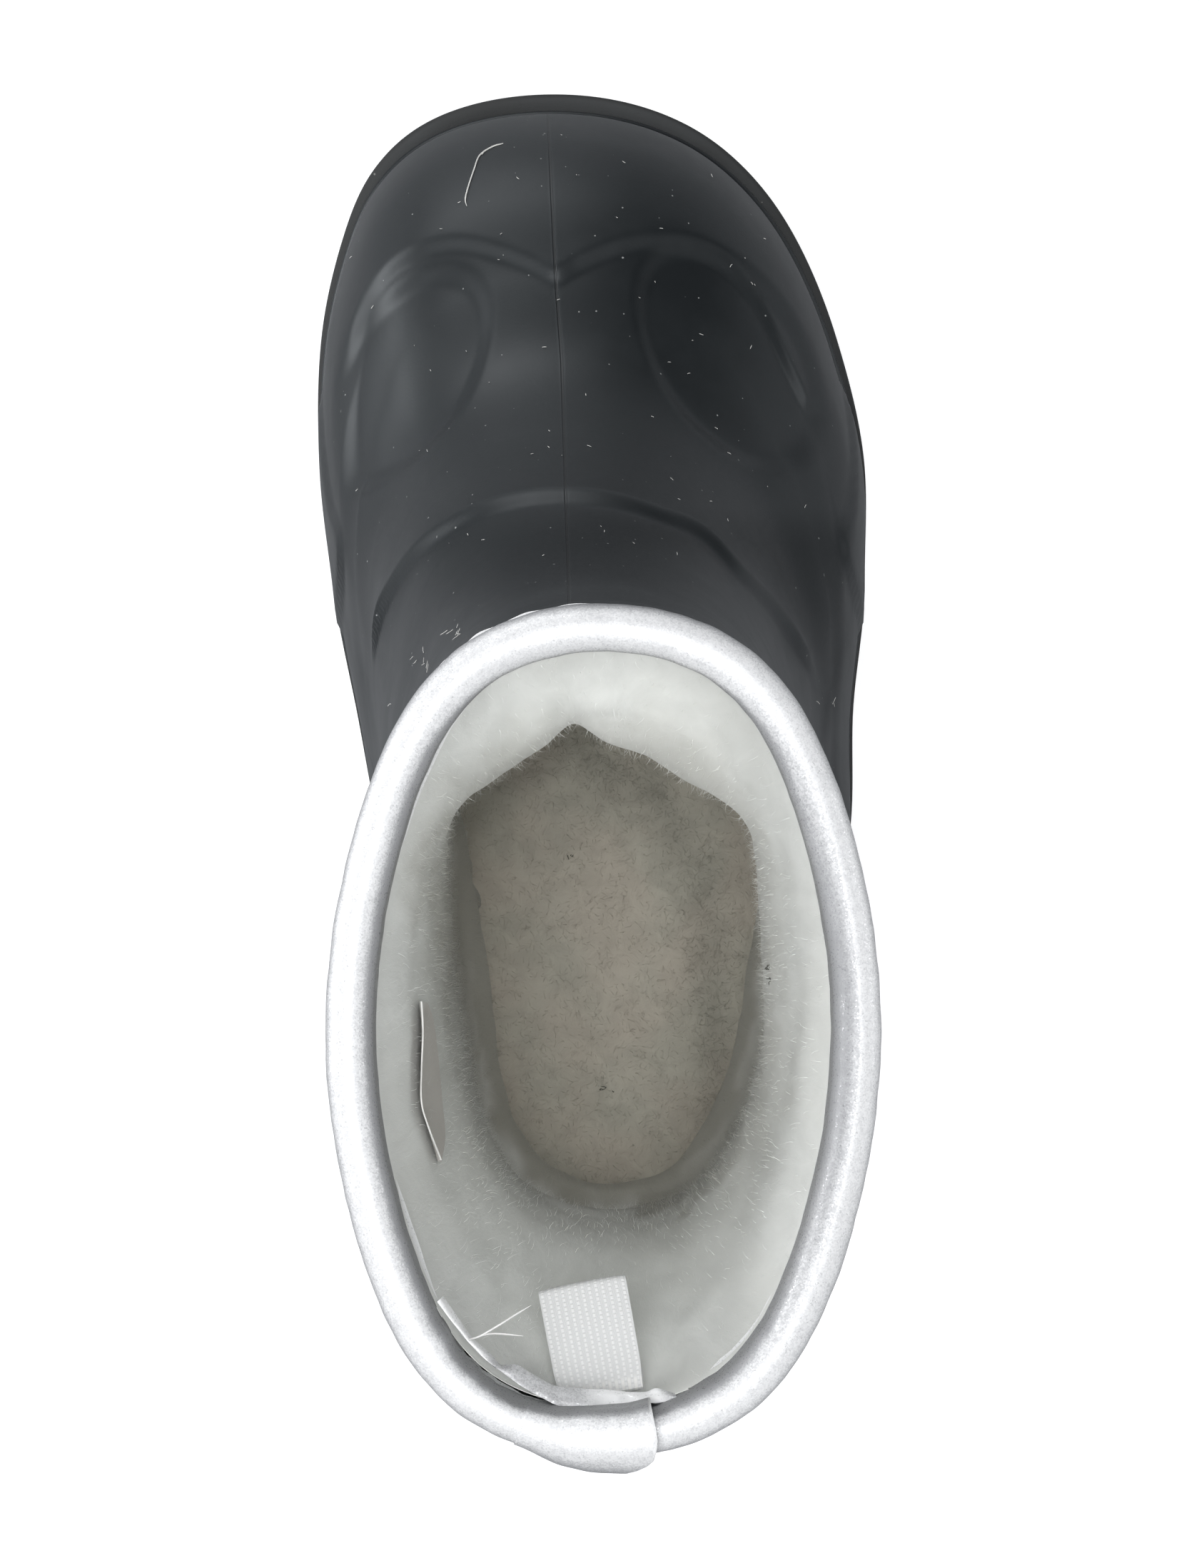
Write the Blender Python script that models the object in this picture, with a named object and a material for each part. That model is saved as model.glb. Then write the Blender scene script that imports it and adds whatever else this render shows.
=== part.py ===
"""Lined rubber boot of a small child, right foot, standing empty on its sole.

Metres, +Z up, toe towards +Y, the lateral (outer) side of the foot towards +X.
The foot and the shaft are one moulded wall, open at the collar and underneath. Its sections fan
from the sole's rim over the toe and the instep up to the collar, and each is one row of a table.
The sole, the footbed, the collar's binding, the binding's lapped end and the pull loop meet it
with a small gap. Rows hold shares of the named sizes.
"""
import math
from collections import namedtuple

import bmesh
import bpy
import numpy as np

# Driving sizes of the last and the shaft
SOLE_LENGTH = 0.183
BALL_WIDTH = 0.083
HEEL_WIDTH = 0.062
HEEL_HEIGHT = 0.0190
ARCH_HEIGHT = 0.0055
TOE_SPRING = 0.0070
INSTEP_HEIGHT = 0.0935
SHAFT_HEIGHT = 0.1702
COLLAR_LENGTH = 0.1073
COLLAR_WIDTH = 0.0687
COLLAR_CENTRE_Y = 0.259 * SOLE_LENGTH
COLLAR_CENTRE_X = 0.0005
COLLAR_SQUARENESS = 0.28

# Walls, clearances and the moulded relief
WALL = 0.0026
GAP = 0.0003
CAP_STEP = 0.0010
PANEL_STEP = 0.0009
SIDE_PANEL_STEP = 0.0007
INSTEP_ROLL = 0.0014
SHAFT_RIB = 0.0005
INSTEP_ROLL_LENGTH = 0.006
RIM_BEAD = 0.00045
STEP_SLOPE = 0.0009

# Sole
RIM_EDGE = 0.0004
RIM_STEP = 0.0009
SIDE_DRAFT = 0.0018
LUG_HEIGHT = 0.0035
GROOVE_WIDTH = 0.0036
GROOVE_PITCH = 0.0120
CHEVRON_RISE = 0.0060
CHANNEL_WIDTH = 0.0034

# Footbed, binding and pull loop
FOOTBED_THICKNESS = 0.0042
BINDING_TAPE = 0.0015
BINDING_DEPTH = 0.0095
LAP_TAPE = 0.0009
LAP_GAP = 0.0004
LAP_LIFT = 0.0008
RIBBON_WIDTH = 0.0115
RIBBON_LENGTH = 0.0175
RIBBON_THICKNESS = 0.0006
RIBBON_GAP = 0.0012
RIBBON_DROP = math.radians(33)
RIBBON_TURN = math.radians(11)

# Fineness of the faceted solids
COLUMNS = 72
CROWDING = 0.35
BINDING_COLUMNS = 50
LAP_COLUMNS = 9

# Plan of the foot, heel to toe. share runs along SOLE_LENGTH, centre is the middle of the width as a
# share of BALL_WIDTH, and fullness is the half width over that of an ellipse of the same width.
Station = namedtuple("Station", "share centre fullness")
PLAN = [
    Station(0.00, 0.020, 1.84),
    Station(0.03, 0.020, 1.76),
    Station(0.12, 0.022, 1.48),
    Station(0.27, 0.031, 1.17),
    Station(0.40, 0.027, 1.03),
    Station(0.50, 0.009, 0.95),
    Station(0.60, -0.001, 0.984),
    Station(0.70, -0.014, 1.078),
    Station(0.80, -0.037, 1.169),
    Station(0.88, -0.054, 1.271),
    Station(0.94, -0.072, 1.41),
    Station(0.98, -0.082, 1.56),
    Station(1.00, -0.082, 1.70),
]

# Top of the sole, as a share of HEEL_HEIGHT
Top = namedtuple("Top", "share height")
SOLE_TOP = [
    Top(0.00, 1.00),
    Top(0.20, 0.98),
    Top(0.40, 0.86),
    Top(0.55, 0.74),
    Top(0.70, 0.69),
    Top(0.85, 0.72),
    Top(0.95, 0.80),
    Top(1.00, 0.86),
]

# Underside of the sole: arch is a share of ARCH_HEIGHT, spring a share of TOE_SPRING
Under = namedtuple("Under", "share arch spring")
SOLE_UNDER = [
    Under(0.000, 0.0, 0.00),
    Under(0.290, 0.0, 0.00),
    Under(0.315, 0.8, 0.00),
    Under(0.360, 1.0, 0.00),
    Under(0.430, 0.9, 0.00),
    Under(0.490, 0.4, 0.00),
    Under(0.540, 0.0, 0.00),
    Under(0.740, 0.0, 0.00),
    Under(0.800, 0.0, 0.09),
    Under(0.860, 0.0, 0.27),
    Under(0.920, 0.0, 0.55),
    Under(0.970, 0.0, 0.84),
    Under(1.000, 0.0, 1.00),
]

# Side wall of the sole, top to bottom: inset counts RIM_EDGE, RIM_STEP and SIDE_DRAFT, height is a
# share of the sole's thickness there.
SideRing = namedtuple("SideRing", "edge step draft height")
SOLE_SIDE = [
    SideRing(1, 0, 0.0, 1.00),
    SideRing(0, 0, 0.0, 0.95),
    SideRing(0, 0, 0.0, 0.63),
    SideRing(0, 1, 0.0, 0.57),
    SideRing(0, 1, 0.5, 0.12),
    SideRing(0, 1, 1.0, 0.00),
]

# Sections of the upper, sole to collar. front and rear are where the section meets the middle of the
# boot, as shares of SOLE_LENGTH; collar pulls them to the collar's own ends. A level of 0 is the sole's
# top, 1 is INSTEP_HEIGHT and 2 is SHAFT_HEIGHT. ball and heel scale the foot's plan, girth scales
# COLLAR_WIDTH, and rounding goes from the foot's plan (0) to the collar's oval (1). rings is the number of
# rings that the faceted wall takes up to the next row.
Section = namedtuple("Section", "name front front_level rear rear_level ball heel girth rounding collar rings")
SECTIONS = [
    Section("rim", 0.9830, 0.000, 0.009, 0.000, 0.976, 0.970, 0.97, 0.00, 0.00, 0),
    Section("flare", 0.9830, 0.077, 0.005, 0.063, 0.974, 0.980, 0.97, 0.00, 0.00, 2),
    Section("low_side", 0.9715, 0.206, 0.003, 0.158, 0.965, 0.995, 0.97, 0.00, 0.00, 2),
    Section("toe_wall", 0.9470, 0.335, 0.005, 0.252, 0.942, 1.000, 0.96, 0.02, 0.00, 3),
    Section("toe_top", 0.9060, 0.445, 0.008, 0.346, 0.903, 1.000, 0.96, 0.06, 0.00, 4),
    Section("cap_edge", 0.8400, 0.535, 0.012, 0.427, 0.850, 0.995, 0.95, 0.15, 0.00, 5),
    Section("vamp", 0.7700, 0.626, 0.014, 0.508, 0.805, 0.990, 0.93, 0.28, 0.00, 3),
    Section("throat", 0.7130, 0.774, 0.014, 0.602, 0.775, 0.985, 0.91, 0.45, 0.00, 4),
    Section("instep", 0.6546, 1.000, 0.011, 0.737, 0.760, 0.980, 0.90, 0.65, 0.00, 3),
    Section("ankle", 0.6320, 1.241, 0.016, 1.020, 0.760, 0.980, 0.905, 0.85, 0.25, 2),
    Section("shaft", 0.6120, 1.502, 0.018, 1.370, 0.780, 1.000, 0.93, 0.96, 0.50, 2),
    Section("band", 0.6120, 1.763, 0.028, 1.724, 0.800, 1.000, 0.97, 1.00, 0.80, 3),
    Section("collar", 0.5520, 2.000, 0.000, 2.000, 0.800, 1.000, 1.00, 1.00, 1.00, 0),
]

# Bead and groove moulded around the foot of the wall: height above the sole's top, and how far the
# surface stands out, as a share of RIM_BEAD
Rim = namedtuple("Rim", "height out")
RIM = [
    Rim(0.0000, 0.9),
    Rim(0.0005, 1.0),
    Rim(0.0010, 0.6),
    Rim(0.0016, -0.8),
    Rim(0.0023, -0.5),
    Rim(0.0032, 0.0),
]

# Rear edge of the toe cap: across is the distance from the parting line as a share of BALL_WIDTH, along
# a share of SOLE_LENGTH
Edge = namedtuple("Edge", "across along")
CAP_EDGE = [
    Edge(-0.42, 0.740),
    Edge(-0.39, 0.770),
    Edge(-0.36, 0.805),
    Edge(-0.31, 0.838),
    Edge(-0.24, 0.859),
    Edge(-0.17, 0.865),
    Edge(-0.10, 0.858),
    Edge(-0.04, 0.847),
    Edge(0.00, 0.8385),
    Edge(0.04, 0.848),
    Edge(0.10, 0.860),
    Edge(0.17, 0.868),
    Edge(0.24, 0.866),
    Edge(0.31, 0.850),
    Edge(0.37, 0.815),
    Edge(0.41, 0.770),
    Edge(0.44, 0.740),
]

# Roll over the instep, where the foot's form ends and the shaft begins, in the same shares
INSTEP_EDGE = [
    Edge(-0.38, 0.500),
    Edge(-0.35, 0.525),
    Edge(-0.33, 0.558),
    Edge(-0.295, 0.588),
    Edge(-0.256, 0.611),
    Edge(-0.19, 0.634),
    Edge(-0.12, 0.647),
    Edge(0.00, 0.6546),
    Edge(0.08, 0.651),
    Edge(0.15, 0.641),
    Edge(0.24, 0.620),
    Edge(0.28, 0.597),
    Edge(0.335, 0.572),
    Edge(0.40, 0.532),
    Edge(0.455, 0.500),
]

# Parting line of the mould across the vamp
PARTING = [
    Edge(-0.094, 1.000),
    Edge(-0.077, 0.840),
    Edge(-0.065, 0.770),
    Edge(-0.057, 0.655),
    Edge(-0.048, 0.560),
]

# Sunk ovals of the vamp: centre and half axes as shares, lean in degrees from straight along the foot
Oval = namedtuple("Oval", "across along half_length half_width lean")
OVALS = [
    Oval(0.235, 0.776, 0.0984, 0.125, 35.0),
    Oval(-0.355, 0.757, 0.0984, 0.116, -35.0),
]

# Upper edge of the raised panels low on both sides: along the foot, and its level
PANEL_TOP = [
    Edge(0.02, 0.545),
    Edge(0.26, 0.575),
    Edge(0.42, 0.625),
    Edge(0.34, 0.660),
    Edge(0.22, 0.715),
    Edge(0.02, 0.790),
]

# Grooves between the lugs: first groove's place and the number of grooves
Tread = namedtuple("Tread", "start count channel_start channel_end")
TREADS = [
    Tread(0.075, 3, 0.035, 0.320),
    Tread(0.560, 6, 0.500, 0.930),
]

# Skin of the folded binding, from its lower hem up to the crest: out is a share of the tape's thickness
# off the clearance line, down is a share of BINDING_DEPTH below the wall's edge
Fold = namedtuple("Fold", "out down")
BINDING_SKIN = [
    Fold(0.55, 1.00),
    Fold(0.95, 0.75),
    Fold(1.00, 0.40),
    Fold(0.85, 0.05),
]
SHOULDER_OUT = 0.15
SHOULDER_RISE = 0.75
LAP_START = -0.24
LAP_END = 0.165


def column(rows, name):
    return np.array([getattr(row, name) for row in rows], dtype=float)


def through(knots, values, where):
    """Smooth curve through the rows, with slopes taken from the rows on either side."""
    slopes = np.gradient(values, knots)
    where = np.clip(where, knots[0], knots[-1])
    index = np.clip(np.searchsorted(knots, where, side="right") - 1, 0, len(knots) - 2)
    span = knots[index + 1] - knots[index]
    u = (where - knots[index]) / span
    start = (1 + 2 * u) * (1 - u) ** 2 * values[index] + u * (1 - u) ** 2 * span * slopes[index]
    end = u * u * (3 - 2 * u) * values[index + 1] + u * u * (u - 1) * span * slopes[index + 1]
    return start + end


def smooth_step(low, high, value):
    u = np.clip((value - low) / (high - low), 0.0, 1.0)
    return u * u * (3 - 2 * u)


def share_of_turn(turn):
    """A turn of 0 is the heel's end of a section and pi is its toe end; +X is the first half."""
    return (1 - np.cos(turn)) / 2


def turn_of_share(share):
    return np.arccos(1 - 2 * np.asarray(share, dtype=float))


def foot_plan(turn, ball=1.0, heel=1.0):
    """Middle and signed half width of the foot's plan at a turn."""
    share = share_of_turn(turn)
    angle = turn_of_share(share)
    knots = turn_of_share(column(PLAN, "share"))
    middle = BALL_WIDTH * through(knots, column(PLAN, "centre"), angle)
    fullness = through(knots, column(PLAN, "fullness"), angle)
    to_ball = smooth_step(0.25, 0.60, share)
    half = (HEEL_WIDTH * heel * (1 - to_ball) + BALL_WIDTH * ball * to_ball) / 2
    return middle, half * fullness * np.sin(turn)


def sole_top(y):
    return HEEL_HEIGHT * through(column(SOLE_TOP, "share"), column(SOLE_TOP, "height"), y / SOLE_LENGTH)


def sole_under(y):
    share = y / SOLE_LENGTH
    knots = column(SOLE_UNDER, "share")
    arch = ARCH_HEIGHT * np.interp(share, knots, column(SOLE_UNDER, "arch"))
    return arch + TOE_SPRING * np.interp(share, knots, column(SOLE_UNDER, "spring"))


def seat(y):
    """Height on which the upper and the footbed stand."""
    return sole_top(y) + GAP


def front_path():
    """Places of the sections along the boot's front, as lengths from the sole's rim."""
    collar = column(SECTIONS, "collar")
    front = COLLAR_CENTRE_Y + COLLAR_LENGTH / 2
    y = SOLE_LENGTH * column(SECTIONS, "front") * (1 - collar) + front * collar
    level = column(SECTIONS, "front_level")
    z = height_of_level(level, y)
    steps = np.hypot(np.diff(y), np.diff(z))
    return np.concatenate([[0.0], np.cumsum(steps)])


def height_of_level(level, y):
    foot = seat(y) + np.minimum(level, 1.0) * (INSTEP_HEIGHT - seat(y))
    return foot + np.maximum(level - 1.0, 0.0) * (SHAFT_HEIGHT - INSTEP_HEIGHT)


PATH = front_path()


def place_of(name):
    return PATH[[row.name for row in SECTIONS].index(name)]


def smooth_upper(place, turn):
    """Outer surface of the upper without its relief; place is a length along the front."""
    row = {name: through(PATH, column(SECTIONS, name), place) for name in Section._fields[1:-1]}
    share = share_of_turn(turn)
    foot_front = SOLE_LENGTH * row["front"]
    foot_rear = SOLE_LENGTH * row["rear"]
    collar_front = COLLAR_CENTRE_Y + COLLAR_LENGTH / 2
    collar_rear = COLLAR_CENTRE_Y - COLLAR_LENGTH / 2
    front = foot_front + (collar_front - foot_front) * row["collar"]
    rear = foot_rear + (collar_rear - foot_rear) * row["collar"]
    y = rear + (front - rear) * share
    level = row["rear_level"] + (row["front_level"] - row["rear_level"]) * share
    z = height_of_level(level, y)
    middle, foot_half = foot_plan(turn, row["ball"], row["heel"])
    square = 1 + COLLAR_SQUARENESS * np.cos(turn) ** 4
    shaft_half = COLLAR_WIDTH / 2 * row["girth"] * square * np.sin(turn)
    rounding = row["rounding"]
    half = foot_half + (shaft_half - foot_half) * rounding
    centre = middle + (COLLAR_CENTRE_X - middle) * rounding ** 2
    return np.stack([centre + half, y, z], axis=-1)


def upper_normal(place, turn):
    """Outward direction, level at the sole's rim and at the collar so that both edges stay flat."""
    small = 1e-4
    low = np.maximum(place - small, 0.0)
    high = np.minimum(place + small, PATH[-1])
    up = smooth_upper(high, turn) - smooth_upper(low, turn)
    around = smooth_upper(place, turn + small) - smooth_upper(place, turn - small)
    normal = np.cross(around, up)
    normal /= np.linalg.norm(normal, axis=-1, keepdims=True)
    rim_fade = smooth_step(0.0, place_of("flare"), place)
    collar_fade = 1 - smooth_step(PATH[-1] - 2.6 * BINDING_DEPTH, PATH[-1] - 1.3 * BINDING_DEPTH, place)
    normal[..., 2] *= rim_fade * collar_fade
    return normal / np.linalg.norm(normal, axis=-1, keepdims=True)


def edge_distance(rows, point):
    """How far a point lies in front of an edge that is drawn across the foot's plan."""
    parting = np.interp(point[..., 1] / SOLE_LENGTH, column(PARTING, "along")[::-1],
                        column(PARTING, "across")[::-1])
    across = point[..., 0] / BALL_WIDTH - parting
    return point[..., 1] - SOLE_LENGTH * through(column(rows, "across"), column(rows, "along"), across)


def oval_depth(oval, point):
    """1 inside a sunk oval, 0 outside it."""
    dx = point[..., 0] - oval.across * BALL_WIDTH
    dy = point[..., 1] - oval.along * SOLE_LENGTH
    lean = math.radians(oval.lean)
    length = dx * math.sin(lean) - dy * math.cos(lean)
    width = dx * math.cos(lean) + dy * math.sin(lean)
    half_length = oval.half_length * SOLE_LENGTH
    half_width = oval.half_width * BALL_WIDTH
    radius = np.hypot(length / half_length, width / half_width)
    inside = (1 - radius) * half_width
    return smooth_step(-STEP_SLOPE, STEP_SLOPE, inside)


def relief(place, turn, point):
    """How far the moulded surface stands out from the smooth one."""
    front = smooth_step(place_of("low_side"), place_of("toe_wall"), place)
    front = front * (1 - smooth_step(place_of("instep"), place_of("ankle"), place))
    cap = smooth_step(-STEP_SLOPE, STEP_SLOPE, edge_distance(CAP_EDGE, point))
    out = CAP_STEP * (cap - 1) * front * smooth_step(0.50, 0.75, point[..., 1] / SOLE_LENGTH)
    for oval in OVALS:
        out = out - PANEL_STEP * oval_depth(oval, point) * front

    ahead = edge_distance(INSTEP_EDGE, point)
    roll = np.exp(-np.maximum(ahead, 0.0) / INSTEP_ROLL_LENGTH) * smooth_step(-STEP_SLOPE, STEP_SLOPE, ahead)
    near_top = smooth_step(place_of("vamp"), place_of("throat"), place)
    out = out + INSTEP_ROLL * roll * near_top * (1 - smooth_step(place_of("instep"), place_of("ankle"), place))

    base = seat(point[..., 1])
    level = (point[..., 2] - base) / (INSTEP_HEIGHT - base)
    top = np.interp(point[..., 1] / SOLE_LENGTH, column(PANEL_TOP, "along"), column(PANEL_TOP, "across"))
    below = (top - level) * INSTEP_HEIGHT
    panel = smooth_step(-STEP_SLOPE, STEP_SLOPE, below) * smooth_step(0.02, 0.12, top)
    out = out + SIDE_PANEL_STEP * panel * smooth_step(0.0, place_of("flare"), place)

    rib = np.exp(-((place - place_of("band")) / STEP_SLOPE) ** 2)
    out = out + SHAFT_RIB * rib
    rise = point[..., 2] - base
    return out + RIM_BEAD * np.interp(rise, column(RIM, "height"), column(RIM, "out"))


def outer_upper(place, turn):
    point = smooth_upper(place, turn)
    out = relief(place, turn, point)
    return point + upper_normal(place, turn) * out[..., None]


def inner_upper(place, turn, depth=WALL):
    """Surface inside the wall; its first ring lies flat on the sole."""
    point = smooth_upper(place, turn) - upper_normal(place, turn) * depth
    at_rim = 1 - smooth_step(0.0, place_of("flare"), place)
    point[..., 2] += (seat(point[..., 1]) - seat(smooth_upper(place, turn)[..., 1])) * at_rim
    return point


def columns(count):
    """Turns around a section, closer together over the toe than at the heel."""
    even = np.arange(count) * 2 * math.pi / count
    return even + CROWDING * np.sin(even)


def outer_places():
    """Places of the wall's rings: the bead and groove, each row's own rings, and one pair per edge."""
    places = [row.height for row in RIM]
    for index, row in enumerate(SECTIONS[1:-1], start=1):
        places.extend(np.linspace(PATH[index], PATH[index + 1], row.rings, endpoint=False))
    for name in ("cap_edge", "instep"):
        places.remove(place_of(name))
        places += [place_of(name) - STEP_SLOPE, place_of(name) + STEP_SLOPE]
    places.append(PATH[-1])
    return np.array(sorted(places))


def where_edge_crosses(rows, turns, name, lowest, highest):
    """Place at which each column crosses an edge, easing back to the row's own place at the sides."""
    places = np.linspace(place_of(lowest), place_of(highest), 80)
    place, turn = np.meshgrid(places, turns, indexing="ij")
    ahead = edge_distance(rows, smooth_upper(place, turn))
    crossing = np.array([np.interp(0.0, -line, places) for line in ahead.T])
    to_front = smooth_step(0.62, 0.80, share_of_turn(turns))
    return place_of(name) + (crossing - place_of(name)) * to_front


def follow_edges(places, turns):
    """Bends the rings so that they run along the toe cap's edge and the instep's roll."""
    cap = where_edge_crosses(CAP_EDGE, turns, "cap_edge", "low_side", "throat")
    instep = where_edge_crosses(INSTEP_EDGE, turns, "instep", "vamp", "shaft")
    straight = [0.0, place_of("flare"), place_of("cap_edge"), place_of("instep"), place_of("band"), PATH[-1]]
    bent = np.empty((len(places), len(turns)))
    for index in range(len(turns)):
        knots = [0.0, place_of("flare"), cap[index], instep[index], place_of("band"), PATH[-1]]
        bent[:, index] = np.interp(places, straight, knots)
    return bent


def grid_points(surface, places, turns):
    return surface(places, np.broadcast_to(turns, places.shape))


def ring_faces(first, second, count):
    """Quads between two closed rings whose vertex numbers start at first and second."""
    faces = []
    for index in range(count):
        after = (index + 1) % count
        faces.append((first + index, first + after, second + after, second + index))
    return faces


def ladder_faces(first, count, upward):
    """Fills a ring that is symmetric about its first vertex with rungs across it."""
    faces = []
    for index in range(count // 2):
        left = (count - index) % count
        corners = [first + index, first + index + 1, first + (left - 1) % count, first + left]
        corners = list(dict.fromkeys(corners))
        faces.append(tuple(corners if upward else corners[::-1]))
    return faces


def add_object(name, points, faces, colour, roughness, smooth=True):
    mesh = bpy.data.meshes.new(name)
    mesh.from_pydata([tuple(float(value) for value in point) for point in points], [], faces)
    mesh.validate()
    work = bmesh.new()
    work.from_mesh(mesh)
    bmesh.ops.remove_doubles(work, verts=work.verts, dist=1e-7)
    bmesh.ops.recalc_face_normals(work, faces=work.faces)
    work.to_mesh(mesh)
    work.free()
    if smooth:
        mesh.shade_smooth()
        mesh.set_sharp_from_angle(angle=math.radians(40))
    thing = bpy.data.objects.new(name, mesh)
    bpy.context.scene.collection.objects.link(thing)
    material = bpy.data.materials.new(name)
    material.use_nodes = True
    shader = material.node_tree.nodes["Principled BSDF"]
    shader.inputs["Base Color"].default_value = (*colour, 1.0)
    shader.inputs["Roughness"].default_value = roughness
    shader.inputs["Metallic"].default_value = 0.0
    mesh.materials.append(material)
    return thing


def make_upper():
    turns = columns(COLUMNS)
    outer = grid_points(outer_upper, follow_edges(outer_places(), turns), turns)
    inner_places = np.delete(PATH, 1)
    inner_rings = len(inner_places)
    inner = grid_points(inner_upper, np.repeat(inner_places[:, None], COLUMNS, axis=1), turns)
    points = np.concatenate([outer.reshape(-1, 3), inner.reshape(-1, 3)])
    faces = []
    for ring in range(len(outer) - 1):
        faces += ring_faces(ring * COLUMNS, (ring + 1) * COLUMNS, COLUMNS)
    inside = len(outer) * COLUMNS
    for ring in range(inner_rings - 1):
        faces += ring_faces(inside + (ring + 1) * COLUMNS, inside + ring * COLUMNS, COLUMNS)
    faces += ring_faces(inside, 0, COLUMNS)
    faces += ring_faces((len(outer) - 1) * COLUMNS, inside + (inner_rings - 1) * COLUMNS, COLUMNS)
    return add_object("upper", points, faces, (0.035, 0.038, 0.043), 0.55)


def sole_ring(turns, inset, height):
    """One ring of the sole's side wall, moved in from the true outline."""
    small = 1e-4

    def outline(turn):
        middle, half = foot_plan(turn)
        return np.stack([middle + half, SOLE_LENGTH * share_of_turn(turn)], axis=-1)

    along = outline(turns + small) - outline(turns - small)
    outward = np.stack([along[:, 1], -along[:, 0]], axis=-1)
    outward /= np.linalg.norm(outward, axis=-1, keepdims=True)
    plan = outline(turns) - outward * inset
    under = sole_under(plan[:, 1])
    return np.column_stack([plan, under + (sole_top(plan[:, 1]) - under) * height])


def sole_turns():
    """Turns of the sole's rings: even steps, and one at each row of the underside."""
    even = np.linspace(0.0, math.pi, 25)
    rows = turn_of_share(column(SOLE_UNDER, "share"))
    side = np.unique(np.round(np.concatenate([even + CROWDING * np.sin(even), rows]), 4))
    keep = [side[0]]
    for turn in side[1:]:
        on_row = np.min(np.abs(rows - turn)) < 1e-3
        if turn - keep[-1] > 0.05 or (on_row and turn - keep[-1] > 0.02):
            keep.append(turn)
    keep[-1] = math.pi
    side = np.array(keep)
    return np.concatenate([side, 2 * math.pi - side[-2:0:-1]])


def prism(outline, low, high):
    """Closed block over a plan outline, as points and faces."""
    count = len(outline)
    points = [(x, y, low) for x, y in outline] + [(x, y, high) for x, y in outline]
    faces = [tuple(range(count))[::-1], tuple(range(count, 2 * count))]
    faces += ring_faces(0, count, count)
    return points, faces


def add_cutter(name, blocks):
    points = []
    faces = []
    for block_points, block_faces in blocks:
        start = len(points)
        points += block_points
        faces += [tuple(start + corner for corner in face) for face in block_faces]
    cutter = add_object(name, points, faces, (0.5, 0.5, 0.5), 0.5, smooth=False)
    cutter.hide_render = True
    cutter.display_type = "WIRE"
    return cutter


def groove_blocks():
    """V-shaped grooves across the tread, pointing to the toe."""
    blocks = []
    reach = BALL_WIDTH
    for tread in TREADS:
        for index in range(tread.count):
            y = tread.start * SOLE_LENGTH + index * GROOVE_PITCH
            wing = y - CHEVRON_RISE * 2
            outline = [
                (-reach, wing), (0.0, y), (reach, wing),
                (reach, wing + GROOVE_WIDTH), (0.0, y + GROOVE_WIDTH), (-reach, wing + GROOVE_WIDTH),
            ]
            floor = float(sole_under(np.array(y - CHEVRON_RISE / 2)))
            blocks.append(prism(outline, -LUG_HEIGHT, floor + LUG_HEIGHT))
    return blocks


def channel_blocks():
    """Channels along the middle of the tread, a little shallower than the grooves."""
    blocks = []
    for tread in TREADS:
        start = tread.channel_start * SOLE_LENGTH
        end = tread.channel_end * SOLE_LENGTH
        half = CHANNEL_WIDTH / 2
        outline = [(-half, start), (half, start), (half, end), (-half, end)]
        blocks.append(prism(outline, -LUG_HEIGHT, LUG_HEIGHT * 0.8))
    return blocks


def make_outsole():
    turns = sole_turns()
    count = len(turns)
    rings = []
    for ring in SOLE_SIDE:
        inset = RIM_EDGE * ring.edge + RIM_STEP * ring.step + SIDE_DRAFT * ring.draft
        rings.append(sole_ring(turns, inset, ring.height))
    points = np.concatenate(rings)
    faces = ladder_faces(0, count, True)
    for ring in range(len(rings) - 1):
        faces += ring_faces((ring + 1) * count, ring * count, count)
    faces += ladder_faces((len(rings) - 1) * count, count, False)
    sole = add_object("outsole", points, faces, (0.03, 0.032, 0.036), 0.6)
    for name, blocks in (("tread_grooves", groove_blocks()), ("tread_channels", channel_blocks())):
        cut = sole.modifiers.new(name, "BOOLEAN")
        cut.operation = "DIFFERENCE"
        cut.object = add_cutter(name, blocks)
    return sole


def make_footbed():
    """Pile-covered footbed, inside the wall and on the sole."""
    turns = columns(COLUMNS)
    low = inner_upper(np.zeros(COLUMNS), turns, WALL + GAP)
    wall = inner_upper(np.full(COLUMNS, place_of("low_side")), turns, WALL + GAP)
    climb = FOOTBED_THICKNESS / (wall[:, 2] - low[:, 2])
    high = low + (wall - low) * climb[:, None]
    points = np.concatenate([low, high])
    faces = ladder_faces(0, COLUMNS, False)
    faces += ring_faces(0, COLUMNS, COLUMNS)
    faces += ladder_faces(COLUMNS, COLUMNS, True)
    return add_object("insole", points, faces, (0.30, 0.28, 0.24), 0.95)


def binding_section(turns, spread, tape):
    """Rings of a tape folded over the collar's edge, spread out from it by a clearance."""
    rings = []

    def at(inside, offset, down):
        place = np.full(len(turns), PATH[-1] - max(down, 0.0))
        base = smooth_upper(place, turns)
        outward = upper_normal(place, turns)
        point = base - outward * (WALL + offset) if inside else base + outward * offset
        point[:, 2] += max(-down, 0.0)
        return point

    for fold in BINDING_SKIN:
        rings.append(at(False, spread + tape * fold.out, BINDING_DEPTH * fold.down))
    rings.append(at(False, spread + tape * SHOULDER_OUT, -(spread + tape * SHOULDER_RISE)))
    rings.append(at(False, -WALL / 2, -(spread + tape)))
    rings.append(at(True, spread + tape * SHOULDER_OUT, -(spread + tape * SHOULDER_RISE)))
    for fold in BINDING_SKIN[::-1]:
        rings.append(at(True, spread + tape * fold.out, BINDING_DEPTH * fold.down))
    for inside, down in ((True, BINDING_DEPTH), (True, -spread), (False, -spread), (False, BINDING_DEPTH)):
        rings.append(at(inside, spread, down))
    return rings


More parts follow.
